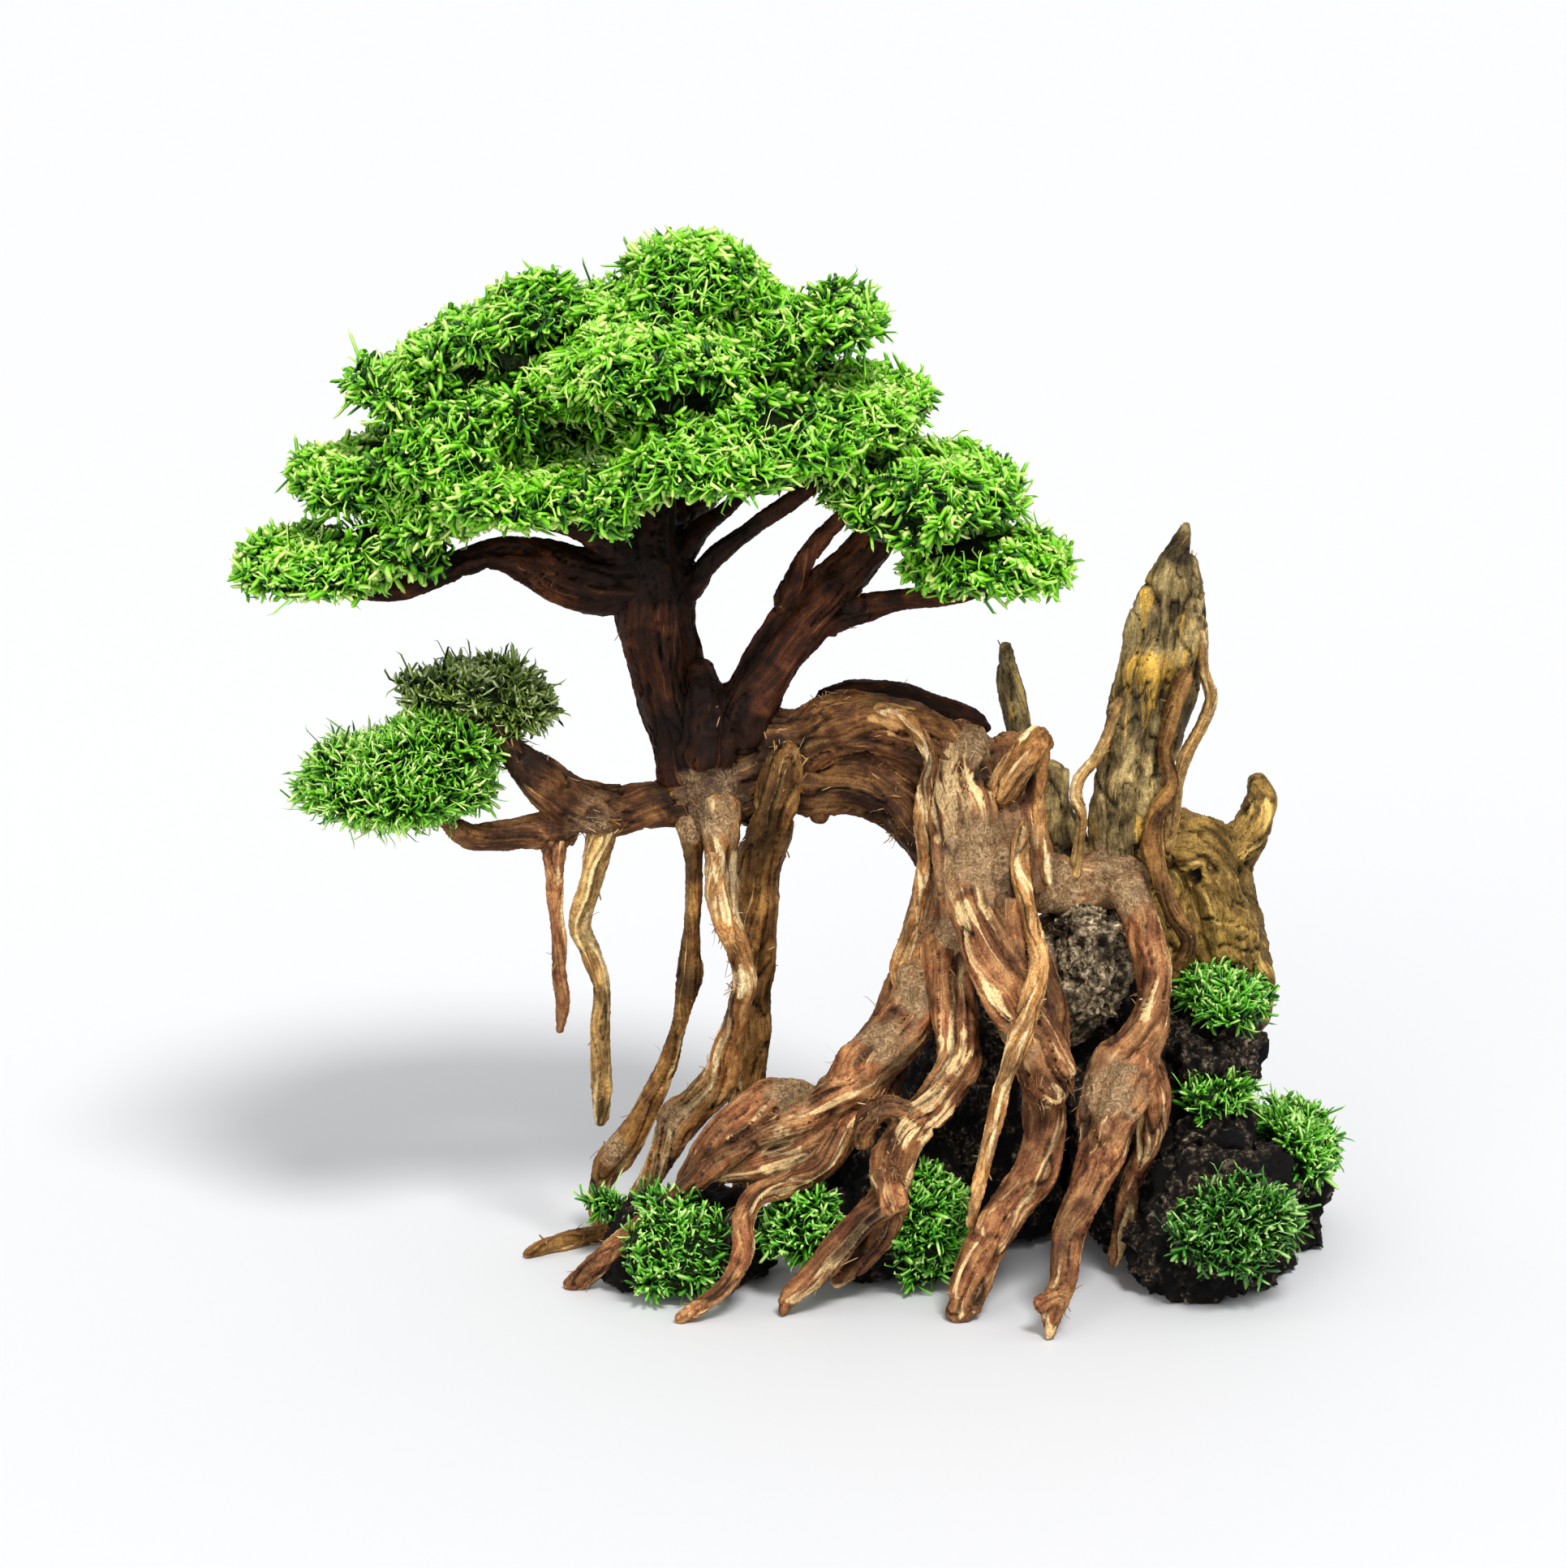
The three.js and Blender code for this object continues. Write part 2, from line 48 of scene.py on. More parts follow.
# The limbs of each wooden piece: its slot, then routes of [x, y, z, radius], in mm.
WOOD = {
    "arch_strand": ("pale_wood", [
        [[25, -6, 175, 2], [33, -11, 173, 2.7], [39, -15, 166, 2.9], [41, -17, 160, 2.7], [39, -18, 153, 2.5],
         [38, -18, 143, 2.5], [39, -18, 130, 2.5], [37, -20, 118, 2.5], [34, -21, 106, 2.7],
         [31, -22, 96, 2.5], [32, -22, 88, 1.7]],
    ]),
    "spire_left_strand": ("pale_wood", [
        [[100, 5, 175, 1.6], [97, 3, 168, 1.7], [93, 0, 159, 1.7], [87, -3, 152, 1.7], [86, -4, 147, 1.7],
         [88, -5, 141, 1.7], [87, -6, 132, 1.7], [86, -7, 123, 1.7]],
    ]),
    "spire_right_strand": ("pale_wood", [
        [[125, 7, 196, 1.7], [126, 6, 184, 2], [128, 5, 176, 2.2], [125, 5, 167, 2.2], [121, 4, 159, 2.2],
         [118, 3, 150, 2.2], [117, 3, 141, 2.2], [115, 2, 130, 2]],
    ]),
    "spire_brown_strand": ("red_wood", [
        [[120, 4, 185, 2.5], [116, 3, 174, 2.7], [114, 2, 159, 2.7], [116, 2, 150, 2.5], [111, 0, 140, 3],
         [110, -2, 131, 3.5], [113, -6, 120, 3.2], [117, -8, 110, 3.2], [121, -8, 102, 3], [118, -6, 93, 2]],
    ]),
    "strand_root": ("pale_wood", [
        [[69, -20, 142, 2.5], [68, -26, 131, 2.7], [70, -34, 119, 3], [73, -45, 104, 3.3], [70, -52, 93, 3.5],
         [66, -57, 81, 3.4], [62, -58, 70, 2.6], [60, -57, 59, 2.2], [57, -57, 46, 2], [54, -60, 35, 2],
         [52, -62, 27, 1.2]],
    ]),
    "knuckle": ("pale_wood", [
        [[62, -14, 150, 4.6], [66, -15, 157, 5], [71, -14, 163, 5.2], [75, -12, 167, 5]],
        [[76, -12, 164, 2], [75, -13, 154, 1.8], [74, -15, 142, 1.8], [76, -17, 130, 1.8],
         [77, -19, 123, 1.5]],
    ]),
    "left_trunk": ("dark_wood", [
        [[-29, 0, 154, 13], [-33, 0, 167, 12.4], [-38.5, 0, 182, 12.4], [-42, 0, 197, 13],
         [-44, 0, 212, 13.5], [-46, 0, 225, 11.5], [-45, 2, 236, 9], [-43, 4, 252, 6], [-41, 5, 272, 4],
         [-36, 5, 291, 2.5]],
        [[-50, -2, 215, 11], [-61, -3, 214, 10.8], [-71, -5, 216, 9.9], [-80, -7, 220, 8.2],
         [-90, -9, 223, 5], [-100, -11, 221, 4], [-110, -12, 217, 4], [-120, -13, 213, 3.2],
         [-132, -14, 212, 2], [-145, -14, 214, 1.2]],
        [[-52, -4, 223, 6.5], [-64, -12, 231, 4], [-78, -20, 236, 2.7], [-93, -26, 240, 2]],
        [[-33, 0, 209, 4], [-27, -3, 219, 3.6], [-20, -6, 226, 3.2], [-12, -8, 232, 3], [-4, -10, 238, 2.9],
         [7, -12, 246, 2.5]],
        [[-36, 2, 220, 5], [-30, 6, 228, 3.7], [-23, 10, 233, 2.5], [-14, 14, 240, 1.7]],
        [[-45, 8, 226, 6.5], [-50, 35, 233, 4], [-57, 60, 239, 2.2]],
        [[-41, 8, 229, 6], [-25, 35, 236, 3.5], [-13, 60, 241, 2]],
    ]),
    "right_trunk": ("dark_wood", [
        [[-18, -2, 166, 9], [-12, -4, 180, 9.5], [-5, -5, 192, 9.4], [4, -6, 203, 9.6], [11.5, -6, 213, 8.7],
         [19, -5, 221, 6.7], [26, -4, 229, 5.5], [31, -2, 243, 3.5]],
        [[-3, -8, 208, 4.5], [1, -10, 219, 3.2], [8, -11, 229, 3], [16, -12, 237, 2.2]],
        [[7, -6, 203, 6], [19, -8, 206, 5], [32, -10, 210, 4], [44, -12, 211, 3.4], [54, -13, 213, 2.5],
         [67, -14, 220, 1.5]],
        [[15, 0, 218, 5.5], [25, 30, 227, 3.2], [36, 55, 232, 2]],
        [[-27, -8, 160, 8], [-28, -8, 170, 8], [-28, -7, 180, 7], [-29, -5, 188, 4.5]],
    ]),
    "arch_log": ("red_wood", [
        [[-11, 0, 164, 11], [1, 0, 164, 9.6], [13, 2, 168, 10.5], [25, 2, 168, 11], [37, 0, 164, 11.5],
         [50, -4, 155, 12.5], [57, -6, 140, 12.5]],
        [[-8, 2, 150, 9], [5, 2, 149, 9], [17, 2, 150, 9.5], [29, 0, 146, 9.5], [38, -4, 137, 8.5],
         [45, -8, 125, 7.5]],
        [[7, 0, 144, 4], [8, 0, 139, 2.5]],
    ]),
    "arch_ridge": ("dark_wood", [
        [[7, 12, 172, 5.5], [17, 15, 174, 5.6], [30, 18, 173, 5.6], [43, 20, 169, 5.1], [54, 20, 166, 4.1],
         [59, 18, 164, 2.5]],
    ]),
    "side_branch": ("red_wood", [
        [[-30, 0, 145, 7.5], [-45, -4, 144, 6.7], [-59, -7, 143, 8.5], [-70, -10, 147, 8.5],
         [-79, -12, 155, 7.4], [-86, -13, 163, 5], [-94, -12, 172, 3], [-102, -8, 179, 2]],
        [[-70, -10, 138, 6.5], [-81, -12, 137, 5.6], [-91, -14, 136.5, 5.2], [-100, -15, 137, 4.2],
         [-108, -15, 143, 2.5], [-119, -14, 148, 1.5]],
    ]),
    "collar": ("filler", [
        [[-42, 0, 144, 6.5], [-30, 0, 148, 10.5], [-18, -2, 151, 11.5], [-6, -2, 157, 10.5]],
        [[-28, 0, 159, 11.5], [-25, -4, 147, 11], [-24, -6, 139, 8.5]],
        [[-13, 6, 139, 7.5], [-9, 2, 151, 9.5]],
    ]),
    "stump": ("filler", [
        [[52, -4, 166, 8.5], [51, -8, 153, 12.5], [52, -12, 139, 13.5], [54, -14, 124, 14.5],
         [51, -14, 111, 13], [45, -14, 100, 11], [41, -14, 89, 9]],
        [[65, 0, 162, 8.5], [68, -4, 147, 10], [69, -8, 133, 11], [72, -8, 120, 11]],
        [[72, -6, 121, 10], [85, 0, 118, 9], [98, 4, 119, 10], [105, 2, 115, 8.5]],
    ]),
    "spire": ("olive_wood", [
        [[99, 6, 119, 8], [98, 8, 137, 8], [102, 10, 157, 8], [106, 12, 175, 8], [110, 13, 195, 8],
         [114, 14, 212, 6], [119, 13, 225, 2.5], [120, 13, 229, 1.2]],
        [[108, 8, 127, 7], [109, 10, 144, 7], [113, 12, 162, 7.5], [117, 13, 177, 7.5], [121, 13, 192, 7],
         [122, 13, 206, 5], [121, 13, 218, 2.5]],
        [[79, 12, 152, 6], [80, 12, 138, 7.5], [86, 11, 124, 8.5], [97, 8, 118, 8]],
    ]),
    "horn": ("olive_wood", [
        [[72, 11, 142, 6.5], [71, 16, 154, 5.8], [70, 19, 163, 5.1], [68, 21, 173, 4.3], [66, 22, 182, 3.3],
         [65, 23, 189, 1.8]],
    ]),
    "tan_stump": ("ochre_wood", [
        [[114, 19, 130, 9], [127, 21, 124, 12], [132, 23, 108, 14.5], [134, 25, 95, 16.5], [138, 27, 82, 14],
         [141, 29, 68, 10]],
        [[114, 21, 118, 10], [118, 23, 102, 12], [122, 25, 88, 12]],
        [[136, 22, 122, 8], [142, 22, 131, 5.8], [145, 23, 140, 4.8], [144, 23, 147, 2.6]],
    ]),
    "long_root": ("red_wood", [
        [[38, -18, 97, 8.5], [36, -20, 88, 10.5], [30, -26, 77, 10.5], [21, -32, 69, 9.5], [12, -36, 61, 7.5],
         [1, -38, 54, 5.2], [-13, -40, 48, 4], [-25, -42, 40, 3.7], [-37, -42, 30, 3.5], [-50, -42, 19, 3.5],
         [-61, -40, 8, 3.7], [-69, -38, 0, 3.2]],
        [[20, -34, 55, 6], [7, -34, 45, 7], [-8, -36, 40, 6.4], [-23, -38, 37, 4.5]],
        [[6, -29, 58, 5], [-6, -31, 58, 7], [-17, -33, 51, 6.5], [-27, -35, 42, 5], [-34, -38, 34, 3.5]],
    ]),
    "knot_root": ("red_wood", [
        [[46, -18, 104, 7.5], [47, -25, 94, 7.5], [49, -34, 82, 7], [49, -40, 72, 6.4], [43, -45, 63, 6.6],
         [35, -50, 55, 6.4], [30, -54, 46, 6.4], [28, -58, 36, 6], [19, -58, 27, 5.4], [13, -60, 20, 5],
         [6, -62, 12, 4.2], [-2, -65, 5, 3.2], [-4, -66, 1, 2]],
        [[27, -60, 42, 5.4], [30, -66, 35, 4.9]],
        [[30, -54, 32, 4.9], [24, -52, 20, 4.9], [17, -52, 11, 3.5], [12, -52, 6, 2]],
        [[36, -50, 58, 4], [27, -50, 61, 4], [21, -48, 55, 4.4], [20, -46, 48, 3]],
    ]),
    "elbow_root": ("red_wood", [
        [[16, -38, 50, 5], [7, -44, 40, 4.2], [-4, -50, 36, 3.9], [-13, -56, 34, 3.9], [-16, -60, 28, 3.7],
         [-16, -63, 19, 3.4], [-20, -67, 11, 3.4], [-28, -70, 5, 3.2], [-35, -72, 1, 2.2]],
    ]),
    "broad_root": ("red_wood", [
        [[53, -16, 140, 7.5], [53, -24, 128, 8], [55, -32, 116, 8], [60, -38, 102, 8.4], [67, -42, 88, 9],
         [74, -48, 76, 10], [77, -51, 66, 9.6]],
        [[63, -16, 134, 6], [64, -24, 122, 6.4], [67, -32, 108, 7], [75, -38, 92, 7], [78, -42, 77, 6]],
    ]),
    "post_root": ("red_wood", [
        [[74, -36, 63, 6.4], [75, -42, 49, 6.8], [71, -48, 38, 7], [63, -54, 30, 7], [56, -60, 19, 7],
         [52, -66, 9, 6.8], [49, -70, 2, 6.5]],
    ]),
    "fork_root": ("red_wood", [
        [[102, -8, 120, 6.5], [107, -16, 109, 6], [109, -22, 98, 6.5], [109, -28, 87, 6], [105, -34, 77, 8],
         [99, -39, 68, 11], [95, -45, 57, 10], [91, -52, 45, 7], [85, -60, 33, 5.6], [81, -68, 24, 5],
         [80, -76, 15, 4], [77, -84, 9, 4], [75, -89, 1, 1.6]],
        [[77, -84, 11, 3.4], [72, -86, 10, 2.7]],
        [[106, -34, 70, 7], [109, -36, 58, 5.5], [107, -36, 45, 4.6], [103, -34, 32, 3.8], [101, -30, 17, 3],
         [98, -24, 4, 2]],
    ]),
    "back_root_left": ("red_wood", [
        [[52, -2, 132, 9], [50, 14, 108, 9], [44, 34, 78, 8.5], [32, 54, 46, 7.5], [22, 70, 18, 6],
         [18, 80, 2, 5]],
    ]),
    "back_root_mid": ("red_wood", [
        [[88, 6, 118, 9], [92, 24, 100, 9], [97, 42, 74, 8], [98, 60, 44, 7], [96, 74, 18, 6],
         [94, 84, 2, 5]],
    ]),
    "back_root_right": ("red_wood", [
        [[112, 22, 108, 8], [124, 38, 84, 8], [134, 52, 56, 7], [142, 64, 26, 6], [146, 74, 3, 5]],
    ]),
    "thin_post": ("red_wood", [
        [[-33, -6, 140, 4.5], [-31.5, -7, 129, 3.5], [-31.5, -7, 115, 3], [-32.5, -6, 103, 2.8],
         [-33, -5, 96, 3.3], [-33, -5, 91, 4.2], [-34, -4, 86, 3.7], [-35, -2, 80, 2.8], [-37, 2, 70, 2.5],
         [-40.5, 6, 58, 3], [-45, 9, 48, 3.6], [-49, 12, 39, 4], [-55.5, 15, 29, 5.7], [-60, 17, 22, 4.7],
         [-63, 19, 12, 2.6], [-63, 21, 1, 2.1]],
    ]),
    "frayed_post": ("pale_wood", [
        [[-23, -10, 146, 6.5], [-22.5, -12, 134, 6.1], [-22.5, -13, 121, 6], [-21.5, -12, 111, 4.4],
         [-18, -11, 101, 3.8], [-16, -10, 92, 3.9], [-18, -8, 81, 3.9], [-20.5, -6, 70, 4.3],
         [-23.5, -4, 58, 5.4], [-30, -2, 49, 6.6], [-36.5, 0, 43, 7.5], [-39.5, 2, 35, 6.1],
         [-43.5, 4, 26.5, 4.8], [-50, 6, 16, 3.3], [-53, 8, 6, 2.8], [-54, 9, 1, 2.4]],
        [[-24, -15, 130, 3.5], [-24, -18, 119, 4], [-22, -19, 110, 3.4], [-20, -19, 104, 1.8]],
    ]),
    "back_post": ("red_wood", [
        [[-3, -13, 164, 4], [-4, -12, 156, 6.5], [-6, -11, 147, 7], [-8, -5, 138, 7.8], [-10, 5, 129, 8],
         [-11, 15, 118, 7], [-13, 19, 92, 6.8], [-14, 22, 68, 6.6], [-15, 26, 49, 6.4], [-15, 32, 28, 6],
         [-15, 38, 2, 5.4]],
    ]),
    "hanging_long": ("pale_wood", [
        [[-59.5, -10, 138, 5], [-61.5, -11, 128, 3.9], [-63.5, -13, 119, 3.7], [-66.5, -14, 109, 3.5],
         [-63.5, -14, 100, 3.3], [-60, -14, 88, 3], [-60, -14, 75, 3.2], [-60, -14, 60, 3],
         [-60.5, -14, 46, 2.5]],
    ]),
    "hanging_short": ("red_wood", [
        [[-74, -12, 135, 4.5], [-74, -12, 124, 2.5], [-74, -13, 116, 2.2], [-73, -13, 106, 2.2],
         [-73, -14, 93, 2.2], [-72, -14, 84, 2.2], [-73, -14, 75, 1.3]],
    ]),
    "left_tip_root": ("pale_wood", [
        [[-57, 13, 4, 3.1], [-64, 8, 3, 2.8], [-72, 2, 3, 2.8], [-78, -2, 2.5, 2.6], [-84, -7, 1.5, 1.6]],
    ]),
}

# Places on the wood that the grain doesn't explain: [kind, x, y, z, reach], in mm.
# dust is sawdust filler; of the two kinds of painted shade, the deeper lies where parts meet and under the
# crown, and shade is half as deep; pale is bare heartwood, and hole is a pit, sunken and painted darker as
# shade.
TOUCHES = {
    "collar": [("shade", -24, -16, 152, 22), ("dust", -27, -12, 146, 14), ("deep_shade", -28, -12, 169, 15),
               ("deep_shade", -44, -2, 148, 9), ("deep_shade", -8, -14, 163, 13), ("pale", -4, -16, 146, 8)],
    "left_trunk": [("dust", -30, -10, 152, 6), ("deep_shade", -48, -6, 222, 26), ("deep_shade", -36, -8, 168, 14)],
    "right_trunk": [("deep_shade", -16, -8, 170, 13), ("deep_shade", -28, -14, 173, 17)],
    "frayed_post": [("dust", -24, -14, 142, 8), ("pale", -21, -16, 122, 14), ("pale", -17, -14, 90, 7),
                    ("dust", -38, -4, 46, 6), ("shade", -29, -6, 56, 9)],
    "thin_post": [("dust", -32, -10, 139, 6), ("dust", -57, 11, 30, 6), ("shade", -33, -8, 88, 7)],
    "back_post": [("shade", -8, -6, 138, 10)],
    "arch_log": [("deep_shade", -8, -8, 160, 14), ("deep_shade", -4, -6, 148, 9), ("pale", 30, -8, 174, 8),
                 ("shade", 6, -16, 150, 15), ("shade", 24, -14, 150, 13)],
    "side_branch": [("deep_shade", -38, -6, 150, 10), ("dust", -63, -12, 141, 9), ("deep_shade", -84, -14, 160, 10)],
    "stump": [("dust", 58, -24, 130, 19), ("dust", 57, -14, 167, 10), ("dust", 45, -27, 104, 16),
              ("dust", 80, -10, 121, 13), ("dust", 100, -6, 122, 17), ("pale", 46, -20, 163, 9),
              ("pale", 49, -22, 151, 11), ("pale", 49, -24, 140, 8), ("hole", 66, -22, 125, 6),
              ("hole", 61, -17, 159, 7)],
    "broad_root": [("dust", 58, -26, 132, 17), ("pale", 53, -36, 117, 6), 
                   ("dust", 66, -51, 80, 8), ("pale", 80, -58, 66, 6),
                   ("shade", 72, -40, 104, 9), ("hole", 66, -30, 126, 5)],
    "knot_root": [("pale", 46, -46, 77, 8), ("pale", 39, -52, 66, 8), ("pale", 33, -57, 55, 7),
                  ("dust", 24, -58, 60, 7)],
    "long_root": [("dust", 38, -28, 92, 10), ("dust", 27, -33, 76, 10), ("pale", -4, -42, 44, 9),
                  ("dust", 0, -34, 62, 10)],
    "fork_root": [("shade", 80, -74, 32, 14), ("dust", 102, -14, 118, 9), ("dust", 94, -48, 66, 12),
                  ("pale", 104, -34, 88, 7)],
    "strand_root": [("dust", 69, -20, 134, 5)],
    "spire": [("dust", 96, -2, 120, 13), ("pale", 110, 2, 184, 12), ("pale", 112, 2, 172, 7),
              ("hole", 106, 4, 208, 2.4), ("hole", 109, 2, 158, 2.4), ("deep_shade", 119, 8, 222, 9)],
    "tan_stump": [("hole", 124, 10, 118, 3), ("hole", 128, 9, 104, 2.5)],
}

TOUCH_KINDS = ("dust", "deep_shade", "shade", "pale", "hole")

# Knots in the wood: [x, y, z, reach], in mm.
KNOTS = {
    "broad_root": [(77, -60, 78, 6)],
    "fork_root": [(105, -30, 104, 4), (92, -58, 56, 4)],
    "knot_root": [(28, -72, 37, 6), (52, -44, 92, 4)],
    "left_trunk": [(-38, -16, 205, 6), (-30, -14, 176, 5), (-60, -14, 224, 5)],
    "right_trunk": [(-12, -14, 170, 6), (4, -14, 190, 5), (-27, -15, 172, 5)],
    "arch_log": [(19, -24, 163, 6), (0, -22, 158, 5), (10, -20, 146, 5)],
    "side_branch": [(-62, -16, 144, 5)],
    "long_root": [(20, -44, 66, 6), (-20, -50, 36, 5)],
    "spire": [(108, -4, 186, 5), (104, -4, 150, 6), (112, -2, 206, 4)],
    "tan_stump": [(128, 0, 120, 8), (122, 0, 92, 7)],
    "post_root": [(64, -56, 44, 5)],
    "knuckle": [(74, -20, 164, 4)],
}

# How short the grain is, against ordinary wood.
GNARLED = {"tan_stump": 7, "horn": 3, "spire": 4.5, "collar": 6, "knuckle": 2, "strand_root": 2,
           "stump": 1.6, "arch_log": 1.3}

# The pads of the crown, which lean on each other.
PADS = ("pad_top", "pad_upper_left", "pad_upper_right", "pad_left", "pad_lowest_left", "pad_front_center",
        "pad_right", "pad_lowest_right", "pad_back", "pad_back_high")

# Hollows in the crown: [x, y, z, half width, half depth, half height], in mm.
HOLLOWS = [
    (26, -10, 281, 26, 50, 7), (48, -10, 260, 18, 50, 6), (-138, -10, 262, 21, 50, 8.5),
    (-154, -14, 235, 17, 48, 6), (-94, -40, 281, 12, 26, 6.5), (-72, -46, 258, 19, 26, 6),
    (-32, -50, 276, 13, 22, 5), (-50, -50, 271, 8, 20, 4.5), (30, -48, 240, 11, 16, 4.5),
    (-112, -14, 292, 9, 40, 4), (-56, -14, 307, 9, 30, 5), (-6, -46, 268, 10, 16, 4),
]

# Pieces whose finish differs from their slot's.
LOOKS = {
    "back_post": "tan_wood",
    "spire_brown_strand": "tan_wood",
    "spire_left_strand": "honey_wood",
    "spire_right_strand": "honey_wood",
    "hanging_long": "honey_wood",
    "thin_post": "tan_wood",
    "stump": "red_wood",
    "left_tip_root": "tan_wood",
    # The collar, arch and side branch take a darker copy of red wood: painted shade of the crown.
    "collar": "shade_wood",
    "arch_log": "shade_wood",
    "side_branch": "shade_wood",
}

# Where the wood is frayed: [x, y, z, reach, how many splinters].
FRAYS = {
    "frayed_post": [(-21, -19, 107, 6, 60), (-17, -11, 88, 5, 16), (-25, -6, 62, 7, 16)],
    "knot_root": [(32, -64, 46, 7, 46), (26, -50, 60, 7, 36), (40, -48, 70, 6, 16), (8, -63, 12, 6, 16)],
    "arch_log": [(8, 0, 178, 7, 30), (34, -6, 140, 9, 50), (24, -8, 160, 9, 24)],
    "back_post": [(-5, 8, 136, 10, 44), (-3, -10, 158, 9, 60)],
    "thin_post": [(-57, 12, 30, 6, 14)],
    "strand_root": [(66, -50, 86, 8, 30), (69, -38, 104, 8, 20)],
    "broad_root": [(76, -52, 70, 8, 36), (66, -48, 84, 8, 20)],
    "fork_root": [(92, -48, 62, 9, 24), (80, -82, 12, 5, 14), (106, -28, 90, 6, 14)],
    "long_root": [(-26, -44, 38, 9, 24), (2, -36, 64, 12, 30), (-66, -40, 4, 5, 12)],
    "stump": [(48, -20, 160, 9, 30), (52, -24, 145, 9, 30), (100, -6, 126, 12, 24), (46, -26, 102, 9, 20)],
    "side_branch": [(-62, -12, 138, 9, 30), (-86, -12, 162, 7, 16)],
    "collar": [(-24, -16, 142, 12, 36)],
    "spire": [(122, 8, 216, 8, 14), (86, 4, 122, 9, 20)],
    "elbow_root": [(-14, -58, 33, 6, 10)],
    "left_tip_root": [(-80, -4, 2, 6, 12)],
    "hanging_long": [(-66, -14, 109, 4, 6)],
}
FUZZ = 14  # splinters all over each piece
SPLINTER = {"stand": (0.1, 0.6), "lift": (-0.8, -0.4), "up": 0.0, "over": 0.8, "sway": 0.0, "curl": 0.6,
            "curl_spread": 0.9, "length": (1.6, 5), "width": (0.12, 0.3), "stray": 0.1}

# How the leaves of each moss grow: lengths in mm, turns in radians.
MOSS_KINDS = {
    "crown_leaf": {"inset": 5.5, "lump": 3.8, "stand": (-0.25, 0.4), "lift": (-0.8, 2.6), "up": 0.0,
                   "over": 0.4, "sway": 1.2, "curl": 1.6, "curl_spread": 1.2, "length": (4.6, 8.8),
                   "width": (0.54, 0.92), "stray": 0.03, "under": 0.6},
    "side_leaf": {"inset": 5.8, "lump": 4.0, "stand": (0.0, 1.1), "lift": (-0.8, 1.4), "up": 0.15,
                  "over": 0.5, "sway": 0.8, "curl": 1.5, "curl_spread": 1.2, "length": (4.8, 8),
                  "width": (0.38, 0.62), "stray": 0.05, "under": 0.8},
    "rock_moss": {"inset": 5.8, "lump": 4.4, "stand": (0.0, 1.1), "lift": (-0.8, 1.8), "up": 0.2, "over": 0.5,
                  "sway": 0.9, "curl": 1.4, "curl_spread": 1.1, "length": (4, 7.5), "width": (0.42, 0.7),
                  "stray": 0.03, "under": 0.2},
}


# ---------------------------------------------------------------- noise

SHUFFLE = np.random.default_rng(11).permutation(256)
SLOPES = np.random.default_rng(12).normal(size=(256, 3))
SLOPES /= np.linalg.norm(SLOPES, axis=1, keepdims=True)


def noise(places, seed=0):
    """Smooth gradient noise, about -1 to 1, at an array of places."""
    places = places + np.array([31.7, 47.3, 11.9]) * seed
    cell = np.floor(places).astype(int)
    part = places - cell
    smooth = part ** 3 * (part * (part * 6 - 15) + 10)
    total = np.zeros(len(places))
    for corner in np.ndindex(2, 2, 2):
        x, y, z = ((cell + corner) & 255).T
        slope = SLOPES[SHUFFLE[(SHUFFLE[(SHUFFLE[x] + y) & 255] + z) & 255]]
        share = np.prod(np.where(corner, smooth, 1 - smooth), axis=1)
        total += share * np.sum(slope * (part - corner), axis=1)
    return total * 1.7


def ridged(places, seed=0):
    """Noise with sharp crests, 0 in the hollows to 1 on the crests."""
    return 1 - np.clip(np.abs(noise(places, seed)) * 2, 0, 1)


def ease(low, high, value):
    part = np.clip((value - low) / (high - low), 0, 1)
    return part * part * (3 - 2 * part)


# ---------------------------------------------------------------- meshes

def only(piece):
    """Selects one object and nothing else."""
    bpy.ops.object.select_all(action="DESELECT")
    piece.select_set(True)
    bpy.context.view_layer.objects.active = piece


def finish_with(piece, kind, **settings):
    """Adds a modifier and applies it."""
    only(piece)
    modifier = piece.modifiers.new(kind.lower(), kind)
    for name, value in settings.items():
        setattr(modifier, name, value)
    bpy.ops.object.modifier_apply(modifier=modifier.name)


def places_of(piece):
    places = np.empty(len(piece.data.vertices) * 3)
    piece.data.vertices.foreach_get("co", places)
    return places.reshape(-1, 3)


def normals_of(piece):
    normals = np.empty(len(piece.data.vertices) * 3)
    piece.data.vertices.foreach_get("normal", normals)
    return normals.reshape(-1, 3)


def move_to(piece, places):
    """Puts the vertices at new places, none below the table."""
    places = places.copy()
    places[:, 2] = np.maximum(places[:, 2], 0)
    piece.data.vertices.foreach_set("co", places.ravel())
    piece.data.update()


def mark(piece, name, values):
    """Stores a number or a vector for each vertex, for the finishes to read."""
    values = np.asarray(values, np.float32)
    if values.ndim == 1:
        piece.data.attributes.new(name, "FLOAT", "POINT").data.foreach_set("value", values)
    else:
        piece.data.attributes.new(name, "FLOAT_VECTOR", "POINT").data.foreach_set("vector", values.ravel())


def smooth_shade(piece):
    only(piece)
    bpy.ops.object.shade_smooth()


def hand_over(piece, node, slot, *finishes):
    """Gives a finished piece its finishes, and its place in the frame."""
    piece.data.materials.clear()
    for finish in finishes:
        piece.data.materials.append(finish)
    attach(piece, "root")
    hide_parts(node)


# ---------------------------------------------------------------- wood

ROUTE_STEP = 1.5  # mm between the places along a limb
TWIST = 0.012  # turn of the strands round a limb, in radians per mm
SWELL = 0.35  # mm added all over, for what the smoothing takes away
ROUND_END = ((0.3, 0.86), (0.55, 0.6), (0.7, 0.2))  # past a strand's end, and how thick there, in its radii


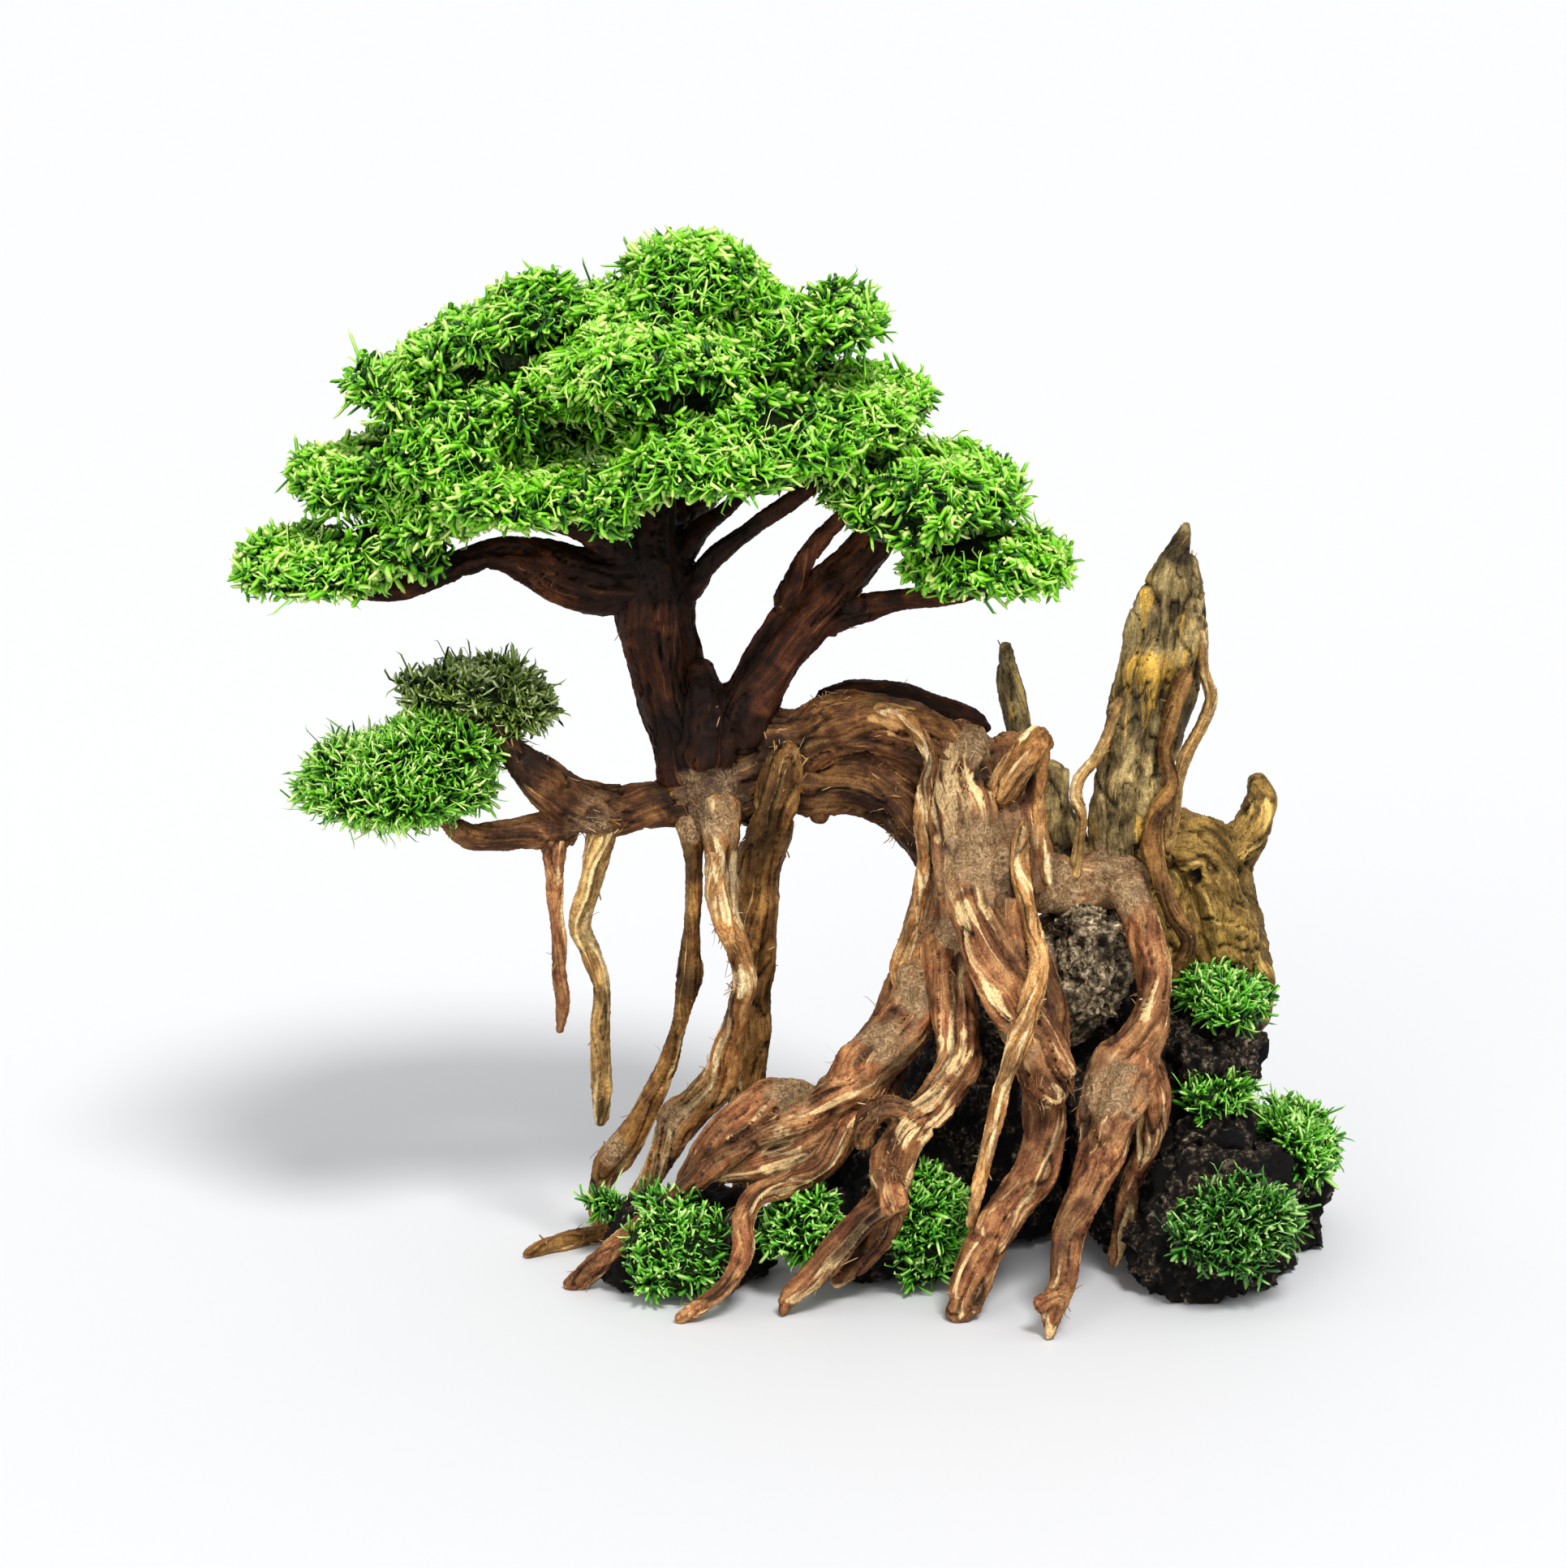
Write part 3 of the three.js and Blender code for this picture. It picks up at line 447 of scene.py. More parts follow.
def route(points):
    """A smooth curve through [x, y, z, radius] points, as rows a step apart."""
    stops = np.array(points, float)
    ends = 2 * stops[[0, -1]] - stops[[1, -2]]
    stops = np.vstack([ends[:1], stops, ends[1:]])
    rows = []
    for i in range(1, len(stops) - 2):
        p = stops[i - 1:i + 3]
        gaps = np.sqrt(np.maximum(np.linalg.norm(np.diff(p[:, :3], axis=0), axis=1), 1e-6))
        t = np.concatenate([[0], np.cumsum(gaps)])
        count = max(2, int(gaps[1] ** 2 / ROUTE_STEP))
        for s in np.linspace(t[1], t[2], count, endpoint=False):
            a = [((t[k + 1] - s) * p[k] + (s - t[k]) * p[k + 1]) / (t[k + 1] - t[k]) for k in range(3)]
            b = [((t[k + 2] - s) * a[k] + (s - t[k]) * a[k + 1]) / (t[k + 2] - t[k]) for k in range(2)]
            rows.append(((t[2] - s) * b[0] + (s - t[1]) * b[1]) / (t[2] - t[1]))
    rows.append(stops[-2])
    rows = np.array(rows)
    rows[:, 3] = np.maximum(rows[:, 3], 0.5)
    return rows


class Limb:
    """A route with a frame carried along it, so that a place can be told along and across the grain."""

    def __init__(self, points, twist):
        rows = route(points)
        self.middle = rows[:, :3]
        self.radius = rows[:, 3]
        step = np.gradient(self.middle, axis=0)
        self.along = step / np.linalg.norm(step, axis=1, keepdims=True)
        gaps = np.linalg.norm(np.diff(self.middle, axis=0), axis=1)
        self.length = np.concatenate([[0], np.cumsum(gaps)])
        side = np.cross(self.along[0], (0.3, 1, 0.2))
        sides = [side / np.linalg.norm(side)]
        for tangent in self.along[1:]:
            side = sides[-1] - tangent * np.dot(sides[-1], tangent)
            sides.append(side / np.linalg.norm(side))
        sides = np.array(sides)
        over = np.cross(self.along, sides)
        turn = (twist * self.length)[:, None]
        self.side = sides * np.cos(turn) + over * np.sin(turn)
        self.over = over * np.cos(turn) - sides * np.sin(turn)


def strands_of(limb, hand):
    """The strands that make up a limb: rows of [x, y, z, radius] for each."""
    thick = limb.radius.max()
    count = 3 if thick < 3.4 else 4 if thick < 8 else 6
    n = len(limb.length)
    u = limb.length
    strands = [np.column_stack([limb.middle, limb.radius * 0.68])]
    for k in range(count):
        phase = hand.uniform(0, 6, 4)
        fat = hand.uniform(0.45, 0.72) if count < 5 else hand.uniform(0.3, 0.62)
        angle = 2 * pi * (k + hand.uniform(-0.3, 0.3)) / count + 0.25 * np.sin(u / (2.1 * thick) + phase[0])
        swell = 0.06 * np.sin(u / (1.6 * thick) + phase[1]) + 0.03 * np.sin(u / (0.9 * thick) + phase[2])
        girth = limb.radius * (fat + swell)
        reach = limb.radius * (0.97 - fat + 0.06 * np.sin(u / (1.7 * thick) + phase[3]))
        across, over = (reach * turn for turn in (np.cos(angle), np.sin(angle)))
        middle = limb.middle + limb.side * across[:, None] + limb.over * over[:, None]
        start = hand.integers(0, max(1, min(n // 12, 3)))
        stop = n - hand.integers(0, max(1, min(n // 12, 4)))
        strands.append(np.column_stack([middle, girth])[start:stop])
    return [rounded(rows) for rows in strands]


def rounded(rows):
    """Adds a short rounded end at both ends of a strand."""
    def cap(end, inner):
        way = end[:3] - inner[:3]
        way = way / max(np.linalg.norm(way), 1e-6)
        return [np.append(end[:3] + way * end[3] * out, end[3] * share) for out, share in ROUND_END]
    head = cap(rows[0], rows[1])[::-1]
    tail = cap(rows[-1], rows[-2])
    return np.vstack([head, rows, tail])


def wood_body(name, strands, voxel):
    """Tubes along the strands, grown together into one closed skin."""
    bpy.ops.object.select_all(action="DESELECT")
    bpy.ops.curve.primitive_nurbs_path_add()
    piece = bpy.context.object
    piece.name = name
    piece.data.splines.clear()
    piece.data.dimensions = "3D"
    piece.data.bevel_depth = MM
    piece.data.bevel_resolution = 2
    piece.data.use_fill_caps = True
    for rows in strands:
        spline = piece.data.splines.new("POLY")
        spline.points.add(len(rows) - 1)
        spline.points.foreach_set("co", np.column_stack([rows[:, :3] * MM, np.ones(len(rows))]).ravel())
        spline.points.foreach_set("radius", rows[:, 3])
    only(piece)
    bpy.ops.object.convert(target="MESH")
    finish_with(piece, "REMESH", mode="VOXEL", voxel_size=voxel * MM)
    finish_with(piece, "SMOOTH", factor=0.5, iterations=2)
    return piece


def grain_of(places, limbs):
    """For each place, in mm: its [across, over, along] in the nearest limb, and the limb's radius and way."""
    best = np.full(len(places), np.inf)
    grain = np.zeros((len(places), 3))
    ways = np.zeros((len(places), 3))
    radius = np.ones(len(places))
    for number, limb in enumerate(limbs):
        for start in range(0, len(places), 4000):
            part = slice(start, start + 4000)
            way = places[part, None, :] - limb.middle[None, :, :]
            score = np.linalg.norm(way, axis=2) / limb.radius
            nearest = score.argmin(axis=1)
            rank = np.arange(len(nearest))
            score = score[rank, nearest]
            closer = score < best[part]
            way = way[rank, nearest]
            new = np.column_stack([
                np.sum(way * limb.side[nearest], axis=1),
                np.sum(way * limb.over[nearest], axis=1) + 40 * number,
                limb.length[nearest] + np.sum(way * limb.along[nearest], axis=1),
            ])
            grain[part] = np.where(closer[:, None], new, grain[part])
            ways[part] = np.where(closer[:, None], limb.along[nearest], ways[part])
            radius[part] = np.where(closer, limb.radius[nearest], radius[part])
            best[part] = np.minimum(best[part], score)
    return grain, radius, ways


def touch_of(places, name, kind):
    """How much of a kind of touch, such as dust, lies at each place: 0 to 1."""
    amount = np.zeros(len(places))
    for touch, x, y, z, reach in TOUCHES.get(name, ()):
        if touch == kind:
            away = np.linalg.norm(places - (x, y, z), axis=1) / reach
            away = away + 0.35 * noise(places / (0.5 * reach), 3) + 0.12 * noise(places / 1.8, 4)
            amount = np.maximum(amount, 1 - ease(0.5, 1.1, away))
    return amount


def knots_of(places, name):
    """The raised rings and the sunken eyes of a piece's knots: two amounts, 0 to 1, for each place."""
    ring = np.zeros(len(places))
    eye = np.zeros(len(places))
    for x, y, z, reach in KNOTS.get(name, ()):
        away = np.linalg.norm(places - (x, y, z), axis=1) / reach + 0.25 * noise(places / reach, 6)
        ring = np.maximum(ring, np.exp(-((away - 0.8) / 0.3) ** 2))
        eye = np.maximum(eye, np.exp(-(away / 0.5) ** 2))
    return ring, eye


def carve(places, grain, radius, dust, hand):
    """Height of the wood's relief, in mm: strand ridges, creases, fibres, gnarls and knobs, and grains of
    sawdust.
    """
    g = grain + hand.uniform(0, 90, 3)
    size = np.minimum(radius / 7, 1.3)
    broad = noise(g * (0.2, 0.2, 0.02)) * 0.9 * size
    bands = (ridged(g * (0.42, 0.42, 0.025), 1) - 0.5) * 0.3 * np.minimum(size, 1)
    bands = bands * ease(-0.25, 0.35, noise(places * 0.07, 11))
    crease = -np.exp(-(noise(g * (0.2, 0.2, 0.015), 2) / 0.05) ** 2) * 1.5 * size
    fibre = noise(g * (1.1, 1.1, 0.09), 5) * 0.15 + noise(places * 0.75, 3) * 0.2
    gnarl = noise(places * 0.07, 6) * 0.14 * np.minimum(radius, 9)
    knobs = noise(places * 0.24, 9) * np.minimum(0.035 * radius, 0.35)
    wood = broad + bands + crease + fibre + gnarl + knobs
    grit = (ridged(places * 0.6, 7) - 0.5) * 0.4 + noise(places * 1.1, 8) * 0.25
    lumps = noise(places * 0.17, 9) * 0.8
    return wood * (1 - 0.75 * dust) + (grit + lumps) * dust


def splinters(name, wood, places, along, hand):
    """Curled fibres that stand off the wood: a few all over, and tufts where it is frayed."""
    count = len(places)
    picks = [hand.integers(0, count, FUZZ)]
    for x, y, z, reach, number in FRAYS.get(name, ()):
        near = np.flatnonzero(np.linalg.norm(places - (x, y, z), axis=1) < reach)
        if len(near):
            picks.append(hand.choice(near, number))
    picks = np.concatenate(picks)
    lean = unit(along[picks] * hand.choice((-1, 1), (len(picks), 1)) + hand.normal(0, 0.35, (len(picks), 3)))
    piece = blades(name + "_splinters", places[picks], normals_of(wood)[picks], SPLINTER, hand, lean)
    hand_over(piece, name, WOOD[name][0], FINISHES["splinter"])


def wood_piece(name):
    slot, routes = WOOD[name]
    hand = np.random.default_rng(sum(map(ord, name)))
    limbs = [Limb(points, TWIST * hand.choice((-1, 1)) * hand.uniform(0.6, 1.5)) for points in routes]
    thick = max(limb.radius.max() for limb in limbs)
    voxel = float(np.clip(0.11 * thick, 0.5, 0.88))
    strands = [rows for limb in limbs for rows in strands_of(limb, hand)]
    piece = wood_body(name + "_wood", strands, voxel)
    places = places_of(piece) / MM
    grain, radius, along = grain_of(places, limbs)
    grain[:, 0] += 2.4 * noise(places * 0.06, 1)
    grain[:, 1] += 2.4 * noise(places * 0.06, 2)
    grain[:, 2] *= GNARLED.get(name, 1)
    dust, deep_shade, shade, pale, hole = (touch_of(places, name, kind) for kind in TOUCH_KINDS)
    ring, eye = knots_of(places, name)
    relief = carve(places, grain, radius, dust, hand) + 1.1 * ring - 1.4 * eye - 3 * hole
    lift = np.clip(relief + SWELL, -np.minimum(3.2, 0.35 * radius + 0.3), 2.2)
    move_to(piece, (places + normals_of(piece) * lift[:, None]) * MM)
    mark(piece, "grain", (grain + hand.uniform(0, 60, 3)) * MM)
    mark(piece, "relief", relief / np.clip(radius / 7, 0.5, 1.3))
    # Painted shade: the deeper and the half shade touches, the pits, and the knot eyes, which are partly
    # their own darker wood.
    darkest = np.maximum.reduce([deep_shade, 0.5 * shade, hole, 0.8 * eye])
    mark(piece, "touch", np.column_stack([dust, darkest, pale]))
    smooth_shade(piece)
    hand_over(piece, name, slot, FINISHES[LOOKS.get(name, slot)])
    splinters(name, piece, places_of(piece) / MM, along, hand)


# ---------------------------------------------------------------- stones

def copy_of(node, name, voxel, hollows=()):
    """The node's own shape as a new piece with an even skin, less the hollows that touch it."""
    piece = bpy.data.objects.new(name, frame["nodes"][node].data.copy())
    bpy.context.scene.collection.objects.link(piece)
    only(piece)
    bpy.ops.object.mode_set(mode="EDIT")
    bpy.ops.mesh.select_all(action="SELECT")
    bpy.ops.mesh.remove_doubles(threshold=1e-6)
    bpy.ops.object.mode_set(mode="OBJECT")
    places = places_of(piece) / MM
    for x, y, z, wide, deep, tall in hollows:
        half = np.array((wide, deep, tall))
        if np.all(np.abs(places.mean(axis=0) - (x, y, z)) < half + np.ptp(places, axis=0) / 2):
            middle = (x * MM, y * MM, z * MM)
            bpy.ops.mesh.primitive_uv_sphere_add(segments=20, ring_count=12, location=middle)
            cutter = bpy.context.object
            cutter.scale = half * MM
            finish_with(piece, "BOOLEAN", operation="DIFFERENCE", object=cutter)
            bpy.data.objects.remove(cutter)
    finish_with(piece, "REMESH", mode="VOXEL", voxel_size=voxel * MM)
    return piece


FLATS = 14  # broken faces on each stone


def stone_piece(node, slot):
    piece = copy_of(node, node + "_lava", 1.4)
    finish_with(piece, "SMOOTH", factor=0.5, iterations=6)
    places = places_of(piece) / MM
    seed = sum(map(ord, node)) % 17
    lumps = noise(places * 0.07, seed) * 3.4 + (ridged(places * 0.12, seed + 1) - 0.6) * 2.8
    crags = noise(places * 0.3, seed + 2) * 0.9 + (ridged(places * 0.42, seed + 3) - 0.5) * 0.9
    pits = -1.5 * ease(0.22, 0.42, noise(places * 0.36, seed + 4))
    pores = -0.7 * ease(0.2, 0.5, noise(places * 0.8, seed + 5))
    relief = lumps + crags + pits + pores - 0.8
    hand = np.random.default_rng(seed + 40)
    middle = places.mean(axis=0)
    flat = places - middle
    for way in unit(hand.normal(size=(FLATS, 3))):
        out = flat @ way
        flat = flat - way * (0.8 * np.maximum(out - hand.uniform(0.82, 0.97) * out.max(), 0))[:, None]
    move_to(piece, (middle + flat + normals_of(piece) * relief[:, None]) * MM)
    mark(piece, "relief", crags + pits + pores)
    smooth_shade(piece)
    hand_over(piece, node, slot, FINISHES[slot])
    return piece


# ---------------------------------------------------------------- moss

BLADE_RINGS = 3
BLADE_TAPER = (0.8, 1.1, 1.0, 0.0)  # half width of each ring, in a blade's widths
BLADE_STEPS = (1.25, 1.25, 0.5, 0.0)  # way from each ring to the next, in thirds of its length
LEAF_FLOOR = (-1000, -1000, 0.6)  # no leaf or splinter is lower than this, in mm


def moss_core(node, inset, lump):
    """The mat that the strands grow from, nearly black: painted shade in the gaps between the strands."""
    piece = copy_of(node, node + "_mat", 2.7, HOLLOWS)
    finish_with(piece, "SMOOTH", factor=0.5, iterations=4)
    places = places_of(piece) / MM
    clumps = np.abs(noise(places * 0.052, 2)) * lump + np.abs(noise(places * 0.12, 3)) * 0.45 * lump
    normals = normals_of(piece)
    down = ease(0.0, 0.6, -normals[:, 2])
    relief = clumps * (1 - down) + noise(places * 0.3, 4) * 0.5 - inset - 2.2 * down
    move_to(piece, (places + normals * relief[:, None]) * MM)
    smooth_shade(piece)
    return piece


def scatter(piece, density, under, hand):
    """Random places on a piece's skin, in mm, with their normals: so many per square mm, fewer underneath."""
    mesh = piece.data
    mesh.calc_loop_triangles()
    corners = np.empty(len(mesh.loop_triangles) * 3, np.int64)
    mesh.loop_triangles.foreach_get("vertices", corners)
    corners = corners.reshape(-1, 3)
    places = places_of(piece) / MM
    a, b, c = (places[corners[:, k]] for k in range(3))
    cross = np.cross(b - a, c - a)
    area = np.linalg.norm(cross, axis=1)
    normal = cross / np.maximum(area, 1e-9)[:, None]
    weight = area * np.where(normal[:, 2] < -0.25, under, 1)
    count = int(density * weight.sum() / 2)
    pick = hand.choice(len(area), count, p=weight / weight.sum())
    s, t = hand.random((2, count))
    flip = s + t > 1
    s, t = np.where(flip, 1 - s, s), np.where(flip, 1 - t, t)
    spots = a[pick] + (b - a)[pick] * s[:, None] + (c - a)[pick] * t[:, None]
    return spots, normals_of(piece)[corners[pick, 0]]


def buried(spots, normals, node):
    """Which spots look into a neighbouring pad of the crown, where no strand would be seen."""
    probes = (spots + 8 * normals) * MM
    inside = np.zeros(len(spots), bool)
    for other in PADS:
        if other != node:
            mesh = frame["nodes"][other].data
            corners = [tuple(vertex.co) for vertex in mesh.vertices]
            skin = BVHTree.FromPolygons(corners, [tuple(face.vertices) for face in mesh.polygons])
            low, high = np.min(corners, axis=0), np.max(corners, axis=0)
            near = np.all((probes > low) & (probes < high), axis=1) & ~inside
            for k in np.flatnonzero(near):
                place, normal = skin.find_nearest(probes[k])[:2]
                inside[k] = np.dot(probes[k] - np.array(place), np.array(normal)) < 0
    return inside


def unit(ways):
    return ways / np.maximum(np.linalg.norm(ways, axis=1, keepdims=True), 1e-9)


def blades(name, spots, normals, kind, hand, lean=None):
    """One mesh of curled, tapered, three-sided leaves or splinters, which may lean along given ways."""
    n = len(spots)
    tangent = unit(np.cross(normals, hand.normal(size=(n, 3)))) if lean is None else lean
    stand = hand.uniform(*kind["stand"], (n, 1))
    way = unit(normals * stand + tangent + np.array([0, 0, kind["up"]]))
    sideways = normals * hand.choice((-1, 1), (n, 1)) * kind["sway"]
    wish = np.cross(way, normals) * kind["over"] + sideways + hand.normal(0, 0.5, (n, 3))
    axis = unit(np.cross(np.cross(way, wish), way))
    turn = hand.normal(kind["curl"], kind["curl_spread"], n)
    length = hand.uniform(*kind["length"], n)
    long_one = hand.random(n) < kind["stray"]
    length = np.where(long_one, length * 1.8, length)
    width = hand.uniform(*kind["width"], n) * np.where(long_one, 0.6, 1)
    step = (length / BLADE_RINGS)[:, None]
    height = hand.random((n, 1))
    low, high = kind["lift"]
    place = np.maximum(spots + normals * (low + (high - low) * height), LEAF_FLOOR)
    rings = []
    stages = []
    for ring in range(BLADE_RINGS + 1):
        side = axis
        face = np.cross(way, side)
        share = ring / BLADE_RINGS
        half = (width * BLADE_TAPER[ring])[:, None]
        if ring < BLADE_RINGS:
            corners = [place + side * half, place - side * half, place + face * half * 0.75]
            rings.append(np.stack(corners, axis=1))
        else:
            rings.append(place[:, None, :])
        stages.append(share)
        place = np.maximum(place + way * step * BLADE_STEPS[ring], LEAF_FLOOR)
        angle = (turn / BLADE_RINGS)[:, None]
        way = way * np.cos(angle) + np.cross(axis, way) * np.sin(angle)
    points = np.concatenate(rings, axis=1)
    per = points.shape[1]
    faces = [(2, 1, 0)]
    for ring in range(BLADE_RINGS - 1):
        for k in range(3):
            a, b = 3 * ring + k, 3 * ring + (k + 1) % 3
            faces.append((a, b, b + 3, a + 3))
    last = 3 * (BLADE_RINGS - 1)
    faces += [(last + k, last + (k + 1) % 3, per - 1) for k in range(3)]
    offsets = np.arange(n)[:, None] * per
    polygons = []
    for face in faces:
        polygons += (offsets + np.array(face)).tolist()
    mesh = bpy.data.meshes.new(name)
    mesh.from_pydata((points.reshape(-1, 3) * MM).tolist(), [], polygons)
    piece = bpy.data.objects.new(name, mesh)
    bpy.context.scene.collection.objects.link(piece)
    share = np.concatenate([np.repeat(stages[:-1], 3), [1.0]])
    # tone is half random and half how high the blade starts over its skin, so low blades come out darker:
    # painted shade.
    tone = 0.5 * hand.random(n) + 0.5 * height[:, 0]
    mark(piece, "share", np.tile(share, n))
    mark(piece, "tone", np.repeat(tone, per))
    smooth_shade(piece)
    return piece


def moss_piece(node, slot, kind_name, finish, density):
    kind = MOSS_KINDS[kind_name]
    hand = np.random.default_rng(sum(map(ord, node)) + 5)
    core = moss_core(node, kind["inset"], kind["lump"])
    spots, normals = scatter(core, density, kind["under"], hand)
    bare = buried(spots, normals, node) if node in PADS else np.zeros(len(spots), bool)
    for hollow in np.array(HOLLOWS):
        bare |= np.linalg.norm((spots - hollow[:3]) / hollow[3:], axis=1) < 1.06
    spots, normals = spots[~bare], normals[~bare]
    leaves = blades(node + "_leaves", spots, normals, kind, hand)
    hand_over(core, node, slot, FINISHES["mat"])
    hand_over(leaves, node, slot, FINISHES[finish])


# ---------------------------------------------------------------- finishes

def paint(code):
    """A colour from its six hex digits, as the renderer's linear colour."""
    parts = [int(code[i:i + 2], 16) / 255 for i in (0, 2, 4)]
    return [c / 12.92 if c <= 0.04045 else ((c + 0.055) / 1.055) ** 2.4 for c in parts] + [1]


class Finish:
    """A procedural material, built node by node."""

    def __init__(self, name, roughness, specular=0.3):
        self.material = bpy.data.materials.new(name)
        self.material.use_nodes = True
        self.tree = self.material.node_tree
        self.shader = self.tree.nodes["Principled BSDF"]
        self.shader.inputs["Roughness"].default_value = roughness
        self.shader.inputs["Specular IOR Level"].default_value = specular

    def put(self, kind, inputs=(), **settings):
        node = self.tree.nodes.new("ShaderNode" + kind)
        for name, value in settings.items():
            setattr(node, name, value)
        for name, value in dict(inputs).items():
            if isinstance(value, bpy.types.NodeSocket):
                self.tree.links.new(value, node.inputs[name])
            else:
                node.inputs[name].default_value = value
        return node

    def set(self, name, socket):
        self.tree.links.new(socket, self.shader.inputs[name])

    def attribute(self, name, output="Vector"):
        return self.put("Attribute", attribute_name=name).outputs[output]

    def parts(self, vector):
        return self.put("SeparateXYZ", {"Vector": vector}).outputs

    def place(self):
        return self.put("TexCoord").outputs["Object"]

    def noise(self, vector, scale, detail=3.0, distortion=0.0):
        if not isinstance(scale, (int, float)):
            vector = self.put("Mapping", {"Vector": vector, "Scale": scale}).outputs[0]
            scale = 1.0
        inputs = {"Vector": vector, "Scale": scale, "Detail": detail, "Distortion": distortion}
        return self.put("TexNoise", inputs).outputs["Fac"]

    def math(self, operation, a, b=0.0, c=0.0):
        return self.put("Math", {0: a, 1: b, 2: c}, operation=operation).outputs[0]

    def ramp(self, value, *stops):
        node = self.put("ValToRGB", {"Fac": value})
        elements = node.color_ramp.elements
        while len(elements) < len(stops):
            elements.new(0.5)
        for element, (at, colour) in zip(elements, stops):
            element.position = at
            element.color = paint(colour) if isinstance(colour, str) else (colour, colour, colour, 1)
        return node.outputs["Color"]

    def mix(self, amount, a, b, blend="MIX"):
        node = self.put("Mix", {0: amount, 6: a, 7: b}, data_type="RGBA", blend_type=blend)
        return node.outputs[2]

    def bump(self, height, strength, depth):
        node = self.put("Bump", {"Height": height, "Strength": strength, "Distance": depth})
        self.set("Normal", node.outputs[0])


def wood_finish(name, deep, body, light, bare, bareness=0.62, dust=("553c26", "937350", "c4a981")):
    finish = Finish(name, 0.62, 0.14)
    grain = finish.attribute("grain")
    relief = finish.attribute("relief", "Fac")
    dusty, deep_shade, pale = finish.parts(finish.attribute("touch"))
    streaks = finish.noise(grain, (700, 700, 30), 5, 0.6)
    patches = finish.noise(finish.place(), 120, 4, 0.8)
    tone = finish.mix(0.55, streaks, patches)
    colour = finish.ramp(tone, (0.34, deep), (0.47, body), (0.6, light), (0.72, body))
    shade = finish.noise(finish.place(), 42, 3)
    colour = finish.mix(finish.ramp(shade, (0.44, 0.0), (0.64, 0.5)), colour, paint(deep))
    bands = finish.noise(grain, (330, 330, 10), 4, 0.5)
    bared = finish.ramp(finish.math("ADD", bands, finish.math("MULTIPLY", pale, 0.17)),
                        (bareness, 0.0), (bareness + 0.08, 1.0))
    colour = finish.mix(bared, colour, paint(bare))
    fibres = finish.noise(grain, (1700, 1700, 60), 4)
    curls = finish.noise(finish.place(), 1000, 4, 2.0)
    texture = finish.mix(0.55, fibres, curls)
    colour = finish.mix(0.85, colour, finish.ramp(texture, (0.36, 0.3), (0.5, 0.9), (0.62, 1.5)), "MULTIPLY")
    # Low relief is painted darker, down to 0.06 in the creases: painted shade; raised ridges lighter, as worn
    # wood. The sawdust takes the same.
    raised = finish.math("MULTIPLY_ADD", relief, 0.28, 0.5)
    hollow_shade_and_wear = finish.ramp(raised, (0.12, 0.06), (0.4, 0.6), (0.52, 1.0), (0.78, 1.5))
    colour = finish.mix(0.9, colour, hollow_shade_and_wear, "MULTIPLY")
    # Painted shade: the touch's second channel turns the wood near black.
    colour = finish.mix(finish.math("MULTIPLY", deep_shade, 0.8), colour, paint("120a07"))
    grit = finish.noise(finish.place(), 400, 6, 3.0)
    crumbs = finish.ramp(grit, (0.3, dust[0]), (0.5, dust[1]), (0.72, dust[2]))
    crumbs = finish.mix(0.6, crumbs, hollow_shade_and_wear, "MULTIPLY")
    colour = finish.mix(dusty, colour, crumbs)
    finish.set("Base Color", colour)
    height = finish.mix(dusty, texture, grit)
    finish.bump(height, 0.55, 0.0006)
    finish.set("Roughness", finish.ramp(streaks, (0.35, 0.5), (0.65, 0.78)))
    return finish.material


def stone_finish(name, deep, body, light, cover):
    finish = Finish(name, 0.9, 0.2)
    place = finish.place()
    relief = finish.attribute("relief", "Fac")
    speckle = finish.noise(place, 620, 5, 0.5)
    colour = finish.ramp(speckle, (0.36, deep), (0.52, body), (0.68, light))
    crust = finish.math("ADD", finish.noise(place, 95, 4), finish.math("MULTIPLY", relief, 0.06))
    colour = finish.mix(finish.ramp(crust, (cover, 1.0), (cover + 0.16, 0.0)), colour, paint(deep))
    # Pits and pores painted darker: painted shade in them; raised crags lighter, as worn stone.
    hollow_shade_and_wear = finish.ramp(finish.math("MULTIPLY_ADD", relief, 0.3, 0.6), (0.1, 0.1), (0.5, 0.8), (0.9, 1.5))
    colour = finish.mix(0.9, colour, hollow_shade_and_wear, "MULTIPLY")
    finish.set("Base Color", colour)
    finish.bump(speckle, 0.8, 0.0012)
    return finish.material


def leaf_finish(name, root, shade, body, tip):
    finish = Finish(name, 0.38, 0.5)
    share = finish.attribute("share", "Fac")
    tone = finish.attribute("tone", "Fac")
    clumps = finish.noise(finish.place(), 60, 2)
    # Darker towards each leaf's root and for low leaves: painted shade inside the moss. Palest at the tips:
    # partly the tips' own fresher green, partly painted highlight.
    value = finish.math("MULTIPLY_ADD", share, 0.32, finish.math("MULTIPLY", tone, 0.55))
    value = finish.math("ADD", value, finish.math("MULTIPLY", clumps, 0.3))
    colour = finish.ramp(value, (0.32, root), (0.47, shade), (0.64, body), (0.84, tip))
    finish.set("Base Color", colour)
    return finish.material


def splinter_finish():
    finish = Finish("splinter", 0.7, 0.15)
    tone = finish.attribute("tone", "Fac")
    # tone is half random and half how high the splinter starts: low ones darker, painted shade.
    finish.set("Base Color", finish.ramp(tone, (0.0, "5a371c"), (0.5, "a87848"), (1.0, "e6c595")))
    return finish.material


def mat_finish():
    finish = Finish("mat", 0.95, 0.1)
    fuzz = finish.noise(finish.place(), 800, 4)
    # Nearly black: painted shade seen between the strands.
    finish.set("Base Color", finish.ramp(fuzz, (0.35, "050a02"), (0.55, "14240a"), (0.7, "33361a")))
    finish.bump(fuzz, 1.0, 0.001)
    return finish.material


